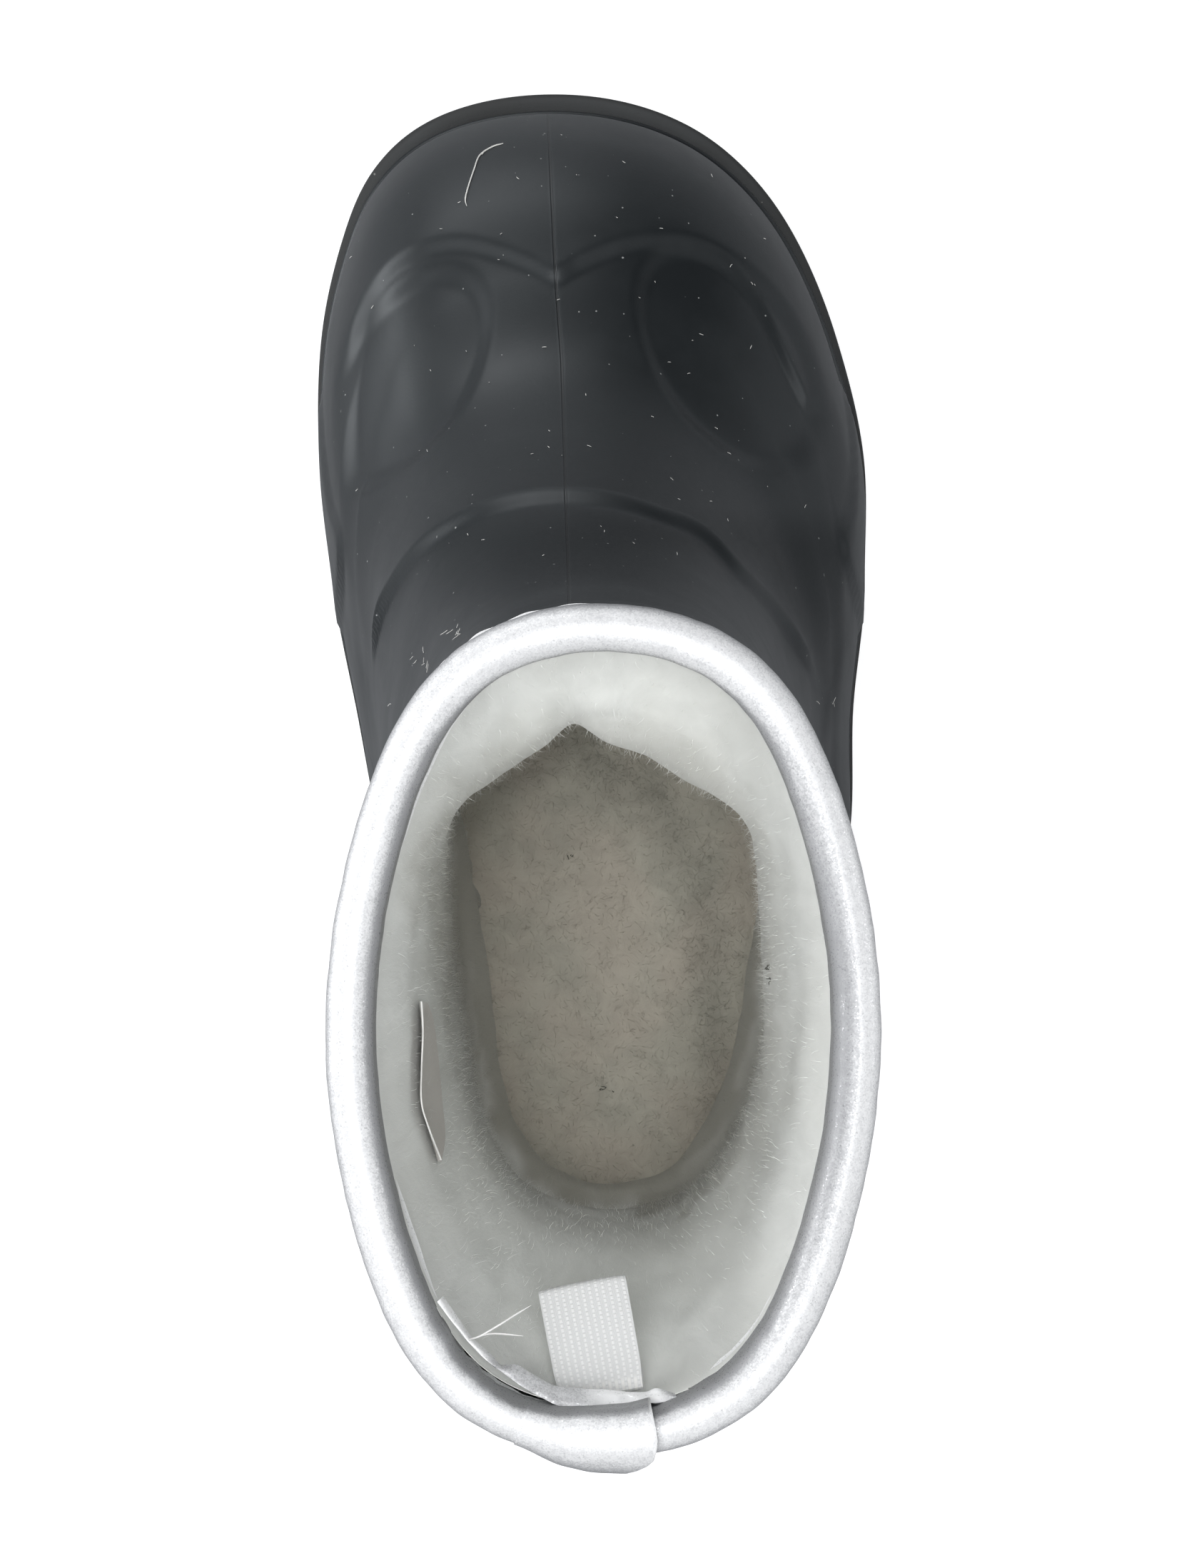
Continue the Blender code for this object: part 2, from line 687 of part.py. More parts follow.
def make_binding():
    turns = columns(BINDING_COLUMNS)
    rings = binding_section(turns, GAP, BINDING_TAPE)
    points = np.concatenate(rings)
    faces = []
    for index in range(len(rings)):
        after = (index + 1) % len(rings)
        faces += ring_faces(index * BINDING_COLUMNS, after * BINDING_COLUMNS, BINDING_COLUMNS)
    return add_object("collar_binding", points, faces, (0.80, 0.81, 0.83), 0.45)


def make_binding_lap():
    """Cut end of the tape, lapped over its start at the back of the collar."""
    turns = np.linspace(LAP_START, LAP_END, LAP_COLUMNS)
    rings = lap_rings(turns)
    points = np.concatenate(rings)
    faces = []
    for index in range(len(rings)):
        after = (index + 1) % len(rings)
        for step in range(LAP_COLUMNS - 1):
            first = index * LAP_COLUMNS + step
            second = after * LAP_COLUMNS + step
            faces.append((first, first + 1, second + 1, second))
    faces.append(tuple(index * LAP_COLUMNS for index in range(len(rings))))
    faces.append(tuple((index + 1) * LAP_COLUMNS - 1 for index in range(len(rings)))[::-1])
    return add_object("binding_lap", points, faces, (0.80, 0.81, 0.83), 0.45)


def lap_rings(turns):
    """The lapped tape follows the binding's skin at a gap, and stands off it towards its cut end."""
    skin = binding_section(turns, GAP, BINDING_TAPE)[:2 * len(BINDING_SKIN) + 3]
    middle = len(skin) // 2
    heart = skin[middle] - np.array([0.0, 0.0, BINDING_TAPE + GAP + WALL / 2])
    lift = LAP_LIFT * smooth_step(0.2, 1.0, (turns - LAP_START) / (LAP_END - LAP_START))
    near = []
    far = []
    for index, ring in enumerate(skin):
        away = ring - heart
        away[:, 2] = np.maximum(away[:, 2], 0.0)
        away /= np.linalg.norm(away, axis=-1, keepdims=True)
        clear = LAP_GAP + lift * (1.0 if index < middle else 0.4)
        near.append(ring + away * clear[:, None])
        far.append(ring + away * (clear + LAP_TAPE)[:, None])
    return near + far[::-1]


def make_pull_loop():
    """Ribbon folded into a flat loop, held under the binding at the back and leaning into the boot."""
    half = RIBBON_GAP / 2
    outer_half = half + RIBBON_THICKNESS
    bend = RIBBON_LENGTH - outer_half
    arc = np.linspace(-math.pi / 2, math.pi / 2, 7)
    profile = [(0.0, -outer_half)]
    profile += [(bend + outer_half * math.cos(a), outer_half * math.sin(a)) for a in arc]
    profile += [(0.0, outer_half), (0.0, half)]
    profile += [(bend + half * math.cos(a), half * math.sin(a)) for a in arc[::-1]]
    profile += [(0.0, -half)]

    below_tape = BINDING_DEPTH + GAP + outer_half / math.cos(RIBBON_DROP)
    turns = np.linspace(-0.4, 0.4, 33)
    wall = inner_upper(np.full(len(turns), PATH[-1] - below_tape), turns, WALL + GAP)
    start = wall[len(turns) // 2].copy()
    for side in (-0.5, 0.5):
        corner_x = start[0] + side * RIBBON_WIDTH * math.cos(RIBBON_TURN)
        corner_y = side * RIBBON_WIDTH * math.sin(RIBBON_TURN)
        start[1] = max(start[1], np.interp(corner_x, wall[:, 0], wall[:, 1]) - corner_y)
    start[1] += outer_half * math.sin(RIBBON_DROP)
    along = np.array([
        -math.sin(RIBBON_TURN) * math.cos(RIBBON_DROP),
        math.cos(RIBBON_TURN) * math.cos(RIBBON_DROP),
        -math.sin(RIBBON_DROP),
    ])
    across = np.array([math.cos(RIBBON_TURN), math.sin(RIBBON_TURN), 0.0])
    up = np.cross(across, along)
    points = []
    for side in (-0.5, 0.5):
        for reach, rise in profile:
            points.append(start + along * reach + up * rise + across * side * RIBBON_WIDTH)
    count = len(profile)
    faces = [tuple(range(count))[::-1], tuple(range(count, 2 * count))]
    faces += ring_faces(0, count, count)
    return add_object("pull_loop", points, faces, (0.78, 0.79, 0.79), 0.4)


def centre_on_floor(things):
    """Moves the whole boot so that the middle of its box stands on the origin."""
    corners = np.concatenate([np.array([vertex.co for vertex in thing.data.vertices]) for thing in things
                              if not thing.hide_render])
    middle = (corners.min(axis=0) + corners.max(axis=0)) / 2
    for thing in things:
        for vertex in thing.data.vertices:
            vertex.co.x -= middle[0]
            vertex.co.y -= middle[1]
            vertex.co.z -= corners[:, 2].min()


def main():
    for thing in list(bpy.data.objects):
        bpy.data.objects.remove(thing)
    make_upper()
    make_outsole()
    make_footbed()
    make_binding()
    make_binding_lap()
    make_pull_loop()
    centre_on_floor(list(bpy.context.scene.collection.objects))


main()
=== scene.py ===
import math

import bmesh
import bpy
import numpy as np
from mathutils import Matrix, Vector, noise
from mathutils.bvhtree import BVHTree


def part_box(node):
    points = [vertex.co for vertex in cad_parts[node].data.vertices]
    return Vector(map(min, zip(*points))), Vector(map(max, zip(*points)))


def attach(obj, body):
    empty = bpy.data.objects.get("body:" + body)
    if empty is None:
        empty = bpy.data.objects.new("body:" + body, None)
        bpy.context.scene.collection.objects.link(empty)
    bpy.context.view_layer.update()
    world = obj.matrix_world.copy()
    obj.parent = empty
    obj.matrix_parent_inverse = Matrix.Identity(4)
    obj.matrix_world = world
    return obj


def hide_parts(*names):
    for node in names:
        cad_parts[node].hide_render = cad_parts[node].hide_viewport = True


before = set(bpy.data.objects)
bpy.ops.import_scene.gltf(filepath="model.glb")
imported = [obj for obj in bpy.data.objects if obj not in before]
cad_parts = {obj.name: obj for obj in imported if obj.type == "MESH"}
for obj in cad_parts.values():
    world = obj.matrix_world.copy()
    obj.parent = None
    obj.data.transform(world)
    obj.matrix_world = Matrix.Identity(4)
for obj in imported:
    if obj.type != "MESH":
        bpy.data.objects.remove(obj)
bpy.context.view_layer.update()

# Sizes that the frame was made from, in metres
last = {
    "soleLength": 0.183,
    "ballWidth": 0.083,
    "heelWidth": 0.062,
    "heelHeight": 0.019,
    "instepHeight": 0.0935,
    "shaftHeight": 0.1702,
    "collarLength": 0.1073,
    "collarWidth": 0.0687,
    "collarX": 0.0005,
    "collarY": 0.0474,
    "squareness": 0.28,
    "wall": 0.0026,
    "gap": 0.0003,
}

# Plan of the foot: share of the length, middle as a share of the ball's width, fullness
planRows = np.array([
    (0.00, 0.020, 1.84), (0.03, 0.020, 1.76), (0.12, 0.022, 1.48), (0.27, 0.031, 1.17),
    (0.40, 0.027, 1.03), (0.50, 0.009, 0.95), (0.60, -0.001, 0.984), (0.70, -0.014, 1.078),
    (0.80, -0.037, 1.169), (0.88, -0.054, 1.271), (0.94, -0.072, 1.41), (0.98, -0.082, 1.56),
    (1.00, -0.082, 1.70),
])

# Top of the sole: share of the length, share of the heel's height
soleTopRows = np.array([
    (0.00, 1.00), (0.20, 0.98), (0.40, 0.86), (0.55, 0.74), (0.70, 0.69), (0.85, 0.72),
    (0.95, 0.80), (1.00, 0.86),
])

# Sections from the sole to the collar: front, its level, rear, its level, ball, heel, girth,
# rounding, pull of the collar
sectionRows = {
    "rim": (0.9830, 0.000, 0.009, 0.000, 0.976, 0.970, 0.97, 0.00, 0.00),
    "flare": (0.9830, 0.077, 0.005, 0.063, 0.974, 0.980, 0.97, 0.00, 0.00),
    "lowSide": (0.9715, 0.206, 0.003, 0.158, 0.965, 0.995, 0.97, 0.00, 0.00),
    "toeWall": (0.9470, 0.335, 0.005, 0.252, 0.942, 1.000, 0.96, 0.02, 0.00),
    "toeTop": (0.9060, 0.445, 0.008, 0.346, 0.903, 1.000, 0.96, 0.06, 0.00),
    "capEdge": (0.8400, 0.535, 0.012, 0.427, 0.850, 0.995, 0.95, 0.15, 0.00),
    "vamp": (0.7700, 0.626, 0.014, 0.508, 0.805, 0.990, 0.93, 0.28, 0.00),
    "throat": (0.7130, 0.774, 0.014, 0.602, 0.775, 0.985, 0.91, 0.45, 0.00),
    "instep": (0.6546, 1.000, 0.011, 0.737, 0.760, 0.980, 0.90, 0.65, 0.00),
    "ankle": (0.6320, 1.241, 0.016, 1.020, 0.760, 0.980, 0.905, 0.85, 0.25),
    "shaft": (0.6120, 1.502, 0.018, 1.370, 0.780, 1.000, 0.93, 0.96, 0.50),
    "band": (0.6120, 1.763, 0.028, 1.724, 0.800, 1.000, 0.97, 1.00, 0.80),
    "collar": (0.5520, 2.000, 0.000, 2.000, 0.800, 1.000, 1.00, 1.00, 1.00),
}
sectionTable = np.array(list(sectionRows.values()))


def through(knots, values, where):
    slopes = np.gradient(values, knots)
    where = np.clip(where, knots[0], knots[-1])
    index = np.clip(np.searchsorted(knots, where, side="right") - 1, 0, len(knots) - 2)
    span = knots[index + 1] - knots[index]
    u = (where - knots[index]) / span
    start = (1 + 2 * u) * (1 - u) ** 2 * values[index] + u * (1 - u) ** 2 * span * slopes[index]
    end = u * u * (3 - 2 * u) * values[index + 1] + u * u * (u - 1) * span * slopes[index + 1]
    return start + end


def smoothStep(low, high, value):
    u = np.clip((np.asarray(value, float) - low) / (high - low), 0, 1)
    return u * u * (3 - 2 * u)


# A line through rows of numbers, at places counted in rows
def alongRows(rows, walk):
    rows = np.array(rows, float)
    knots = np.arange(len(rows), dtype=float)
    return np.stack([through(knots, rows[:, axis], walk) for axis in range(rows.shape[1])], axis=-1)


# Rises from start to full and falls from fading to end
def window(start, full, fading, end, value):
    return smoothStep(start, full, value) * smoothStep(end, fading, value)


def turnOfShare(share):
    return np.arccos(np.clip(1 - 2 * np.asarray(share, float), -1, 1))


def footPlan(turn, ball=1.0, heel=1.0):
    share = (1 - np.cos(turn)) / 2
    angle = turnOfShare(share)
    knots = turnOfShare(planRows[:, 0])
    middle = last["ballWidth"] * through(knots, planRows[:, 1], angle)
    fullness = through(knots, planRows[:, 2], angle)
    toBall = smoothStep(0.25, 0.60, share)
    half = (last["heelWidth"] * heel * (1 - toBall) + last["ballWidth"] * ball * toBall) / 2
    return middle, half * fullness * np.sin(turn)


def seat(y):
    return last["heelHeight"] * through(soleTopRows[:, 0], soleTopRows[:, 1], y / last["soleLength"]) + last["gap"]


def heightOfLevel(level, y):
    foot = seat(y) + np.minimum(level, 1) * (last["instepHeight"] - seat(y))
    return foot + np.maximum(level - 1, 0) * (last["shaftHeight"] - last["instepHeight"])


def frontPath():
    pull = sectionTable[:, 8]
    y = last["soleLength"] * sectionTable[:, 0] * (1 - pull) + (last["collarY"] + last["collarLength"] / 2) * pull
    z = heightOfLevel(sectionTable[:, 1], y)
    return np.concatenate([[0.0], np.cumsum(np.hypot(np.diff(y), np.diff(z)))])


path = frontPath()
placeOf = dict(zip(sectionRows, path))


# Outer surface of the boot without its relief. place is a length up the front, turn goes round:
# 0 at the heel, pi at the toe, the outer side of the foot first
def smoothUpper(place, turn):
    front, frontLevel, rear, rearLevel, ball, heel, girth, rounding, pull = (
        through(path, sectionTable[:, index], place) for index in range(9))
    share = (1 - np.cos(turn)) / 2
    half = last["collarLength"] / 2
    front = last["soleLength"] * front * (1 - pull) + (last["collarY"] + half) * pull
    rear = last["soleLength"] * rear * (1 - pull) + (last["collarY"] - half) * pull
    y = rear + (front - rear) * share
    z = heightOfLevel(rearLevel + (frontLevel - rearLevel) * share, y)
    middle, footHalf = footPlan(turn, ball, heel)
    shaftHalf = last["collarWidth"] / 2 * girth * (1 + last["squareness"] * np.cos(turn) ** 4) * np.sin(turn)
    x = middle + (last["collarX"] - middle) * rounding ** 2 + footHalf + (shaftHalf - footHalf) * rounding
    return np.stack([x, y, z], axis=-1)


def upperNormal(place, turn):
    small = 1e-4
    up = smoothUpper(np.minimum(place + small, path[-1]), turn) - smoothUpper(np.maximum(place - small, 0), turn)
    around = smoothUpper(place, turn + small) - smoothUpper(place, turn - small)
    normal = np.cross(around, up)
    normal /= np.linalg.norm(normal, axis=-1, keepdims=True)
    normal[..., 2] *= smoothStep(0, placeOf["flare"], place)
    normal[..., 2] *= 1 - smoothStep(path[-1] - 0.0247, path[-1] - 0.01235, place)
    return normal / np.linalg.norm(normal, axis=-1, keepdims=True)


# The part's plan has its own origin, at the middle of the heel's back; the frame's is in the middle
plan = footPlan(np.linspace(0, 2 * math.pi, 721))
shift = np.array([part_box("outsole")[0].x - float((plan[0] + plan[1]).min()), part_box("outsole")[0].y, 0.0])

camera = {
    "pixels": (1680, 2197),
    "focalPixels": 10590,
    "height": 1.15,
    "planY": 0.0795,
    "sensor": 36,
}
eye = np.array([0, camera["planY"], camera["height"]])


# A ray of the camera through a place of the picture, in the plan's own frame
def rayThrough(across, down):
    width, height = camera["pixels"]
    step = np.array([across - width / 2, height / 2 - down, -camera["focalPixels"]]) / camera["focalPixels"]
    return step / np.linalg.norm(step)


# The camera's ray from its eye to the first face of a piece's tree: place and normal
def castOn(tree, across, down):
    return tree.ray_cast(Vector(eye + shift), Vector(rayThrough(across, down)))[:2]


def pointAt(across, down, z):
    ray = rayThrough(across, down)
    return eye + ray * ((z - eye[2]) / ray[2])


# Places of points of a piece in the picture
def pixelsOf(points):
    width, height = camera["pixels"]
    away = camera["focalPixels"] / (eye[2] - points[:, 2])
    return np.stack([width / 2 + points[:, 0] * away, height / 2 - (points[:, 1] - eye[1]) * away], axis=-1)


# Places between two lines of the picture, which share their rows
def betweenLines(rows, along, across):
    ends = alongRows(np.reshape(rows, (len(rows), 4)), along * (len(rows) - 1))
    return ends[:, :2] * (1 - across)[:, None] + ends[:, 2:] * across[:, None]


# Distance across the picture from a closed line, less than 0 inside it, and the line's own values there
def fromLine(rows, points):
    rows = np.array(rows, float)
    around = np.concatenate([rows[-2:], rows, rows[:2]])
    line = alongRows(around, np.linspace(2, len(rows) + 2, 240, endpoint=False))
    pixels = pixelsOf(points)
    apart = np.linalg.norm(pixels[:, None, :] - line[None, :, :2], axis=-1)
    nearest = apart.argmin(axis=1)
    following = np.roll(line, -1, axis=0)
    above = (line[None, :, 1] > pixels[:, None, 1]) != (following[None, :, 1] > pixels[:, None, 1])
    rise = np.where(following[:, 1] == line[:, 1], 1e-9, following[:, 1] - line[:, 1])
    crossing = line[:, 0] + (pixels[:, None, 1] - line[:, 1]) * (following[:, 0] - line[:, 0]) / rise
    inside = (above & (pixels[:, None, 0] < crossing)).sum(axis=1) % 2 == 1
    return np.where(inside, -1, 1) * apart.min(axis=1), line[nearest, 2:]


# Inputs of a node: a socket is linked, any other value is set
def fill(tree, node, values):
    for socket, value in values.items():
        if isinstance(value, bpy.types.NodeSocket):
            tree.links.new(value, node.inputs[socket])
        else:
            node.inputs[socket].default_value = value


def addNode(tree, kind, values=None, **settings):
    node = tree.nodes.new(kind)
    for setting, value in settings.items():
        setattr(node, setting, value)
    fill(tree, node, values or {})
    return node.outputs


def addMath(tree, operation, *values, clamp=False):
    return addNode(tree, "ShaderNodeMath", dict(enumerate(values)), operation=operation, use_clamp=clamp)[0]


def addRange(tree, value, low, high, toLow=0.0, toHigh=1.0, kind="SMOOTHSTEP"):
    values = dict(enumerate((value, low, high, toLow, toHigh)))
    return addNode(tree, "ShaderNodeMapRange", values, interpolation_type=kind)[0]


def addMix(tree, factor, first, second):
    first, second = [(*colour, 1.0) if isinstance(colour, tuple) else colour for colour in (first, second)]
    return addNode(tree, "ShaderNodeMix", {0: factor, 6: first, 7: second}, data_type="RGBA")[2]


def addNoise(tree, place, scale, detail=2.0, roughness=0.5, distortion=0.0):
    values = {"Vector": place, "Scale": scale, "Detail": detail, "Roughness": roughness, "Distortion": distortion}
    return addNode(tree, "ShaderNodeTexNoise", values)[0]


# Distance to the middle of the nearest cell, and two numbers that differ from cell to cell
def addCells(tree, place, scale):
    cells = addNode(tree, "ShaderNodeTexVoronoi", {"Vector": place, "Scale": scale})
    chance = addNode(tree, "ShaderNodeSeparateColor", {0: cells["Color"]})
    return cells["Distance"], chance[0], chance[1]


def addWaves(tree, place, scale, distortion, direction):
    values = {"Vector": place, "Scale": scale, "Distortion": distortion}
    return addNode(tree, "ShaderNodeTexWave", values, wave_type="BANDS", bands_direction=direction)["Fac"]


def addMark(tree, name):
    return addNode(tree, "ShaderNodeAttribute", attribute_name=name)["Fac"]


def addStretch(tree, place, scale, rotation=(0.0, 0.0, 0.0)):
    return addNode(tree, "ShaderNodeMapping", {"Vector": place, "Scale": scale, "Rotation": rotation})[0]


# Distance from the middle of a unit cell
def addOffCentre(tree, value):
    return addMath(tree, "ABSOLUTE", addMath(tree, "SUBTRACT", addMath(tree, "FRACT", value), 0.5))


# Bumps laid over each other, each with its height, strength and distance
def addBump(tree, *heights):
    normal = {}
    for height, strength, distance in heights:
        values = {"Strength": strength, "Distance": distance, "Height": height, **normal}
        normal = {"Normal": addNode(tree, "ShaderNodeBump", values)[0]}
    return normal


def newGroup(name, inputs):
    group = bpy.data.node_groups.new(name, "ShaderNodeTree")
    group.interface.new_socket(name="Vector", in_out="INPUT", socket_type="NodeSocketVector")
    for label, start in inputs.items():
        group.interface.new_socket(name=label, in_out="INPUT", socket_type="NodeSocketFloat").default_value = start
    return group, addNode(group, "NodeGroupInput")


def endGroup(group, results):
    for label in results:
        group.interface.new_socket(name=label, in_out="OUTPUT", socket_type="NodeSocketFloat")
    addNode(group, "NodeGroupOutput", results)
    return group


# Small specks of lint and dust that lie on a surface
def makeDustGroup():
    group, given = newGroup("dustSpecks", {"Scale": 500.0, "Size": 0.07, "Share": 0.5})
    distance, chance, size = addCells(group, given["Vector"], given["Scale"])
    wobble = addMath(group, "MULTIPLY_ADD", addNoise(group, given["Vector"], 2600.0, 1.0), 0.09, -0.045)
    radius = addMath(group, "MULTIPLY", addRange(group, size, 0, 1, 0.45, 1.3, "LINEAR"), given["Size"])
    share = addMath(group, "DIVIDE", addMath(group, "ADD", distance, wobble), radius)
    soft = addMath(group, "MULTIPLY", addMath(group, "SUBTRACT", 1.0, share, clamp=True), 2.5, clamp=True)
    kept = addMath(group, "LESS_THAN", chance, given["Share"])
    return endGroup(group, {"Mask": addMath(group, "MULTIPLY", soft, kept)})


# Fine moulded grain with a few pits
def makeGrainGroup():
    group, given = newGroup("mouldGrain", {"Scale": 2200.0, "Pits": 0.4})
    fine = addNoise(group, given["Vector"], given["Scale"], 3.0, 0.65)
    pits = addRange(group, addCells(group, given["Vector"], 900.0)[0], 0.0, 0.28, 1.0, 0.0)
    haze = addRange(group, addNoise(group, given["Vector"], 42.0, 4.0, 0.6), 0.35, 0.68)
    dents = addMath(group, "MULTIPLY", pits, given["Pits"])
    return endGroup(group, {"Height": addMath(group, "SUBTRACT", fine, dents), "Haze": haze})


# Soft clumps and fine fibres of a pile cloth
def makePileGroup():
    group, given = newGroup("pileFluff", {"Scale": 240.0})
    return endGroup(group, {
        "Clumps": addRange(group, addNoise(group, given["Vector"], given["Scale"], 3.0, 0.55, 0.6), 0.3, 0.7),
        "Fibres": addRange(group, addNoise(group, given["Vector"], 2400.0, 3.0, 0.7, 1.4), 0.3, 0.7),
        "Tint": addRange(group, addNoise(group, given["Vector"], 75.0), 0.35, 0.65),
    })


# Glass beads of a reflective tape, as fine bright and dull grains
def makeBeadGroup():
    group, given = newGroup("beadSparkle", {"Scale": 5200.0})
    _, shade, spark = addCells(group, given["Vector"], given["Scale"])
    patches = addMath(group, "MULTIPLY", addNoise(group, given["Vector"], 900.0), 0.5)
    return endGroup(group, {
        "Grain": addMath(group, "MULTIPLY_ADD", shade, 0.6, patches),
        "Spark": addMath(group, "GREATER_THAN", spark, 0.93),
    })


dustGroup = makeDustGroup()
grainGroup = makeGrainGroup()
pileGroup = makePileGroup()
beadGroup = makeBeadGroup()


def useGroup(tree, group, place, **values):
    return addNode(tree, "ShaderNodeGroup", {"Vector": place, **values}, node_tree=group)


def newMaterial(name, values):
    material = bpy.data.materials.new(name)
    material.use_nodes = True
    tree = material.node_tree
    shader = tree.nodes["Principled BSDF"]
    fill(tree, shader, values)
    return material, tree, shader, addNode(tree, "ShaderNodeTexCoord")


rubberValues = {
    "upper": {
        "colour": (0.0066, 0.0083, 0.0096),
        "haze": (0.0095, 0.0116, 0.0130),
        "dust": (0.30, 0.31, 0.31),
        "roughness": 0.45,
        "grain": 0.10,
    },
    "sole": {
        "colour": (0.0105, 0.0105, 0.0102),
        "haze": (0.0165, 0.0163, 0.0155),
        "dust": (0.22, 0.22, 0.21),
        "roughness": 0.62,
        "grain": 0.25,
    },
    "sheen": (0.91, 0.96, 1.0, 1.0),
    "seam": (0.006, 0.0065, 0.007),
    "depth": 0.00012,
}


def makeRubber(name, values, withSeam):
    material, tree, shader, place = newMaterial(name, {"Specular Tint": rubberValues["sheen"]})
    place = place["Object"]
    grain = useGroup(tree, grainGroup, place)
    dust = useGroup(tree, dustGroup, place, Scale=520.0, Size=0.075, Share=0.42)["Mask"]
    stretched = addStretch(tree, place, (1.0, 0.34, 1.0), (0.0, 0.0, 0.6))
    lint = useGroup(tree, dustGroup, stretched, Scale=430.0, Size=0.05, Share=0.30)["Mask"]
    colour = addMix(tree, grain["Haze"], values["colour"], values["haze"])
    heights = [(grain["Height"], values["grain"], rubberValues["depth"])]
    if withSeam:
        seam = addMark(tree, "parting")
        line = addRange(tree, addMath(tree, "ABSOLUTE", seam), 0.10, 0.26, 1.0, 0.0)
        colour = addMix(tree, addMath(tree, "MULTIPLY", line, 0.75), colour, rubberValues["seam"])
        lip = addMath(tree, "SUBTRACT", addRange(tree, seam, -0.6, 0.6), line)
        heights.append((lip, 0.6, rubberValues["depth"]))
        calm = addRange(tree, addMark(tree, "calm"), 0, 1, 0.5, 0.2, "LINEAR")
        fill(tree, shader, {"Specular IOR Level": calm})
    specks = addMath(tree, "MAXIMUM", dust, addMath(tree, "MULTIPLY", lint, 0.8))
    rough = addMath(tree, "MULTIPLY_ADD", grain["Haze"], 0.07, values["roughness"] - 0.03)
    fill(tree, shader, {
        "Base Color": addMix(tree, addMath(tree, "MULTIPLY", specks, 0.75), colour, values["dust"]),
        "Roughness": addMath(tree, "MAXIMUM", rough, addMath(tree, "MULTIPLY", specks, 0.95)),
        **addBump(tree, *heights),
    })
    return material


pileValues = {
    "lining": {
        "light": (0.83, 0.845, 0.825),
        "shade": (0.75, 0.765, 0.745),
        "tint": (0.76, 0.77, 0.735),
        # deep: colour of the painted shade deep in the boot and round the opening
        "deep": (0.30, 0.288, 0.242),
        "clumps": 0.12,
        "scale": 190.0,
        "upright": 0.22,
    },
    "footbed": {
        "light": (0.385, 0.37, 0.315),
        "shade": (0.32, 0.31, 0.263),
        "tint": (0.42, 0.36, 0.305),
        # deep: colour of the painted shade round the footbed's rim
        "deep": (0.16, 0.158, 0.133),
        "clumps": 0.22,
        "scale": 260.0,
        "upright": 1.0,
    },
}


def makePile(name, values):
    fixed = {"Roughness": 0.95, "Sheen Weight": 0.15, "Specular IOR Level": 0.15}
    material, tree, shader, place = newMaterial(name, fixed)
    stretched = addStretch(tree, place["Object"], (1.0, 1.0, values["upright"]))
    fluff = useGroup(tree, pileGroup, stretched, Scale=values["scale"])
    colour = addMix(tree, fluff["Clumps"], values["shade"], values["light"])
    colour = addMix(tree, addMath(tree, "MULTIPLY", fluff["Tint"], 0.35), colour, values["tint"])
    colour = addMix(tree, addMath(tree, "MULTIPLY", fluff["Fibres"], 0.10), colour, values["light"])
    # The deep mark mixes in painted shade
    colour = addMix(tree, addMark(tree, "deep"), colour, values["deep"])
    bump = addBump(tree, (fluff["Clumps"], values["clumps"], 0.0008), (fluff["Fibres"], 0.16, 0.00025))
    fill(tree, shader, {"Base Color": colour, **bump})
    return material


tapeValues = {
    "bright": (0.66, 0.668, 0.682),
    "dull": (0.54, 0.548, 0.565),
    # side: colour of the painted shade where the tape turns down its sides
    "side": (0.27, 0.275, 0.288),
    "backing": (0.88, 0.89, 0.90),
    "ragged": 0.32,
}


def makeTape(name, values):
    material, tree, shader, place = newMaterial(name, {"Metallic": 0.15})
    beads = useGroup(tree, beadGroup, place["Object"])
    grain = beads["Grain"]
    colour = addMix(tree, addRange(tree, grain, 0.15, 0.8), values["dull"], values["bright"])
    # The side mark is painted shade down the tape's sides, broken up by the bead grain
    side = addMath(tree, "ADD", addMark(tree, "side"), values["ragged"] / 2)
    ragged = addMath(tree, "MULTIPLY_ADD", grain, -values["ragged"], side)
    colour = addMix(tree, addRange(tree, ragged, 0.05, 0.95), colour, values["side"])
    fill(tree, shader, {
        "Base Color": addMix(tree, addMark(tree, "hem"), colour, values["backing"]),
        "Roughness": addRange(tree, beads["Spark"], 0, 1, 0.50, 0.22, "LINEAR"),
        **addBump(tree, (grain, 0.45, 0.00009)),
    })
    return material


ribbonValues = {
    "thread": (0.84, 0.845, 0.845),
    "between": (0.67, 0.68, 0.685),
    "stitch": (0.86, 0.86, 0.85),
    "pitch": (13.0, 54.0),
    "ribs": 26.0,
}


def makeSatin(name, values):
    material, tree, shader, place = newMaterial(name, {"Anisotropic": 0.4, "Sheen Weight": 0.1})
    split = addNode(tree, "ShaderNodeSeparateXYZ", {0: place["UV"]})
    column = addMath(tree, "MULTIPLY", split[0], values["pitch"][0])
    row = addMath(tree, "MULTIPLY", split[1], values["pitch"][1])
    row = addMath(tree, "MULTIPLY_ADD", addMath(tree, "FLOOR", column), 0.37, row)
    acrossCell, alongCell = addOffCentre(tree, column), addOffCentre(tree, row)
    dash = addRange(tree, acrossCell, 0.08, 0.30, 1, 0)
    dash = addMath(tree, "MULTIPLY", dash, addRange(tree, alongCell, 0.24, 0.44, 1, 0))
    ribs = addWaves(tree, place["UV"], values["ribs"], 0.3, "X")
    shade = addMath(tree, "MULTIPLY_ADD", ribs, 0.22, addMath(tree, "MULTIPLY", dash, 0.78))
    legs = addMath(tree, "MULTIPLY", addRange(tree, acrossCell, 0.15, 0.35), addMark(tree, "stitch"))
    colour = addMix(tree, shade, values["between"], values["thread"])
    fill(tree, shader, {
        "Base Color": addMix(tree, legs, colour, values["stitch"]),
        "Roughness": addRange(tree, dash, 0, 1, 0.55, 0.42, "LINEAR"),
        **addBump(tree, (shade, 0.5, 0.00012)),
    })
    return material


def darker(colour, share):
    return tuple(part * share for part in colour)


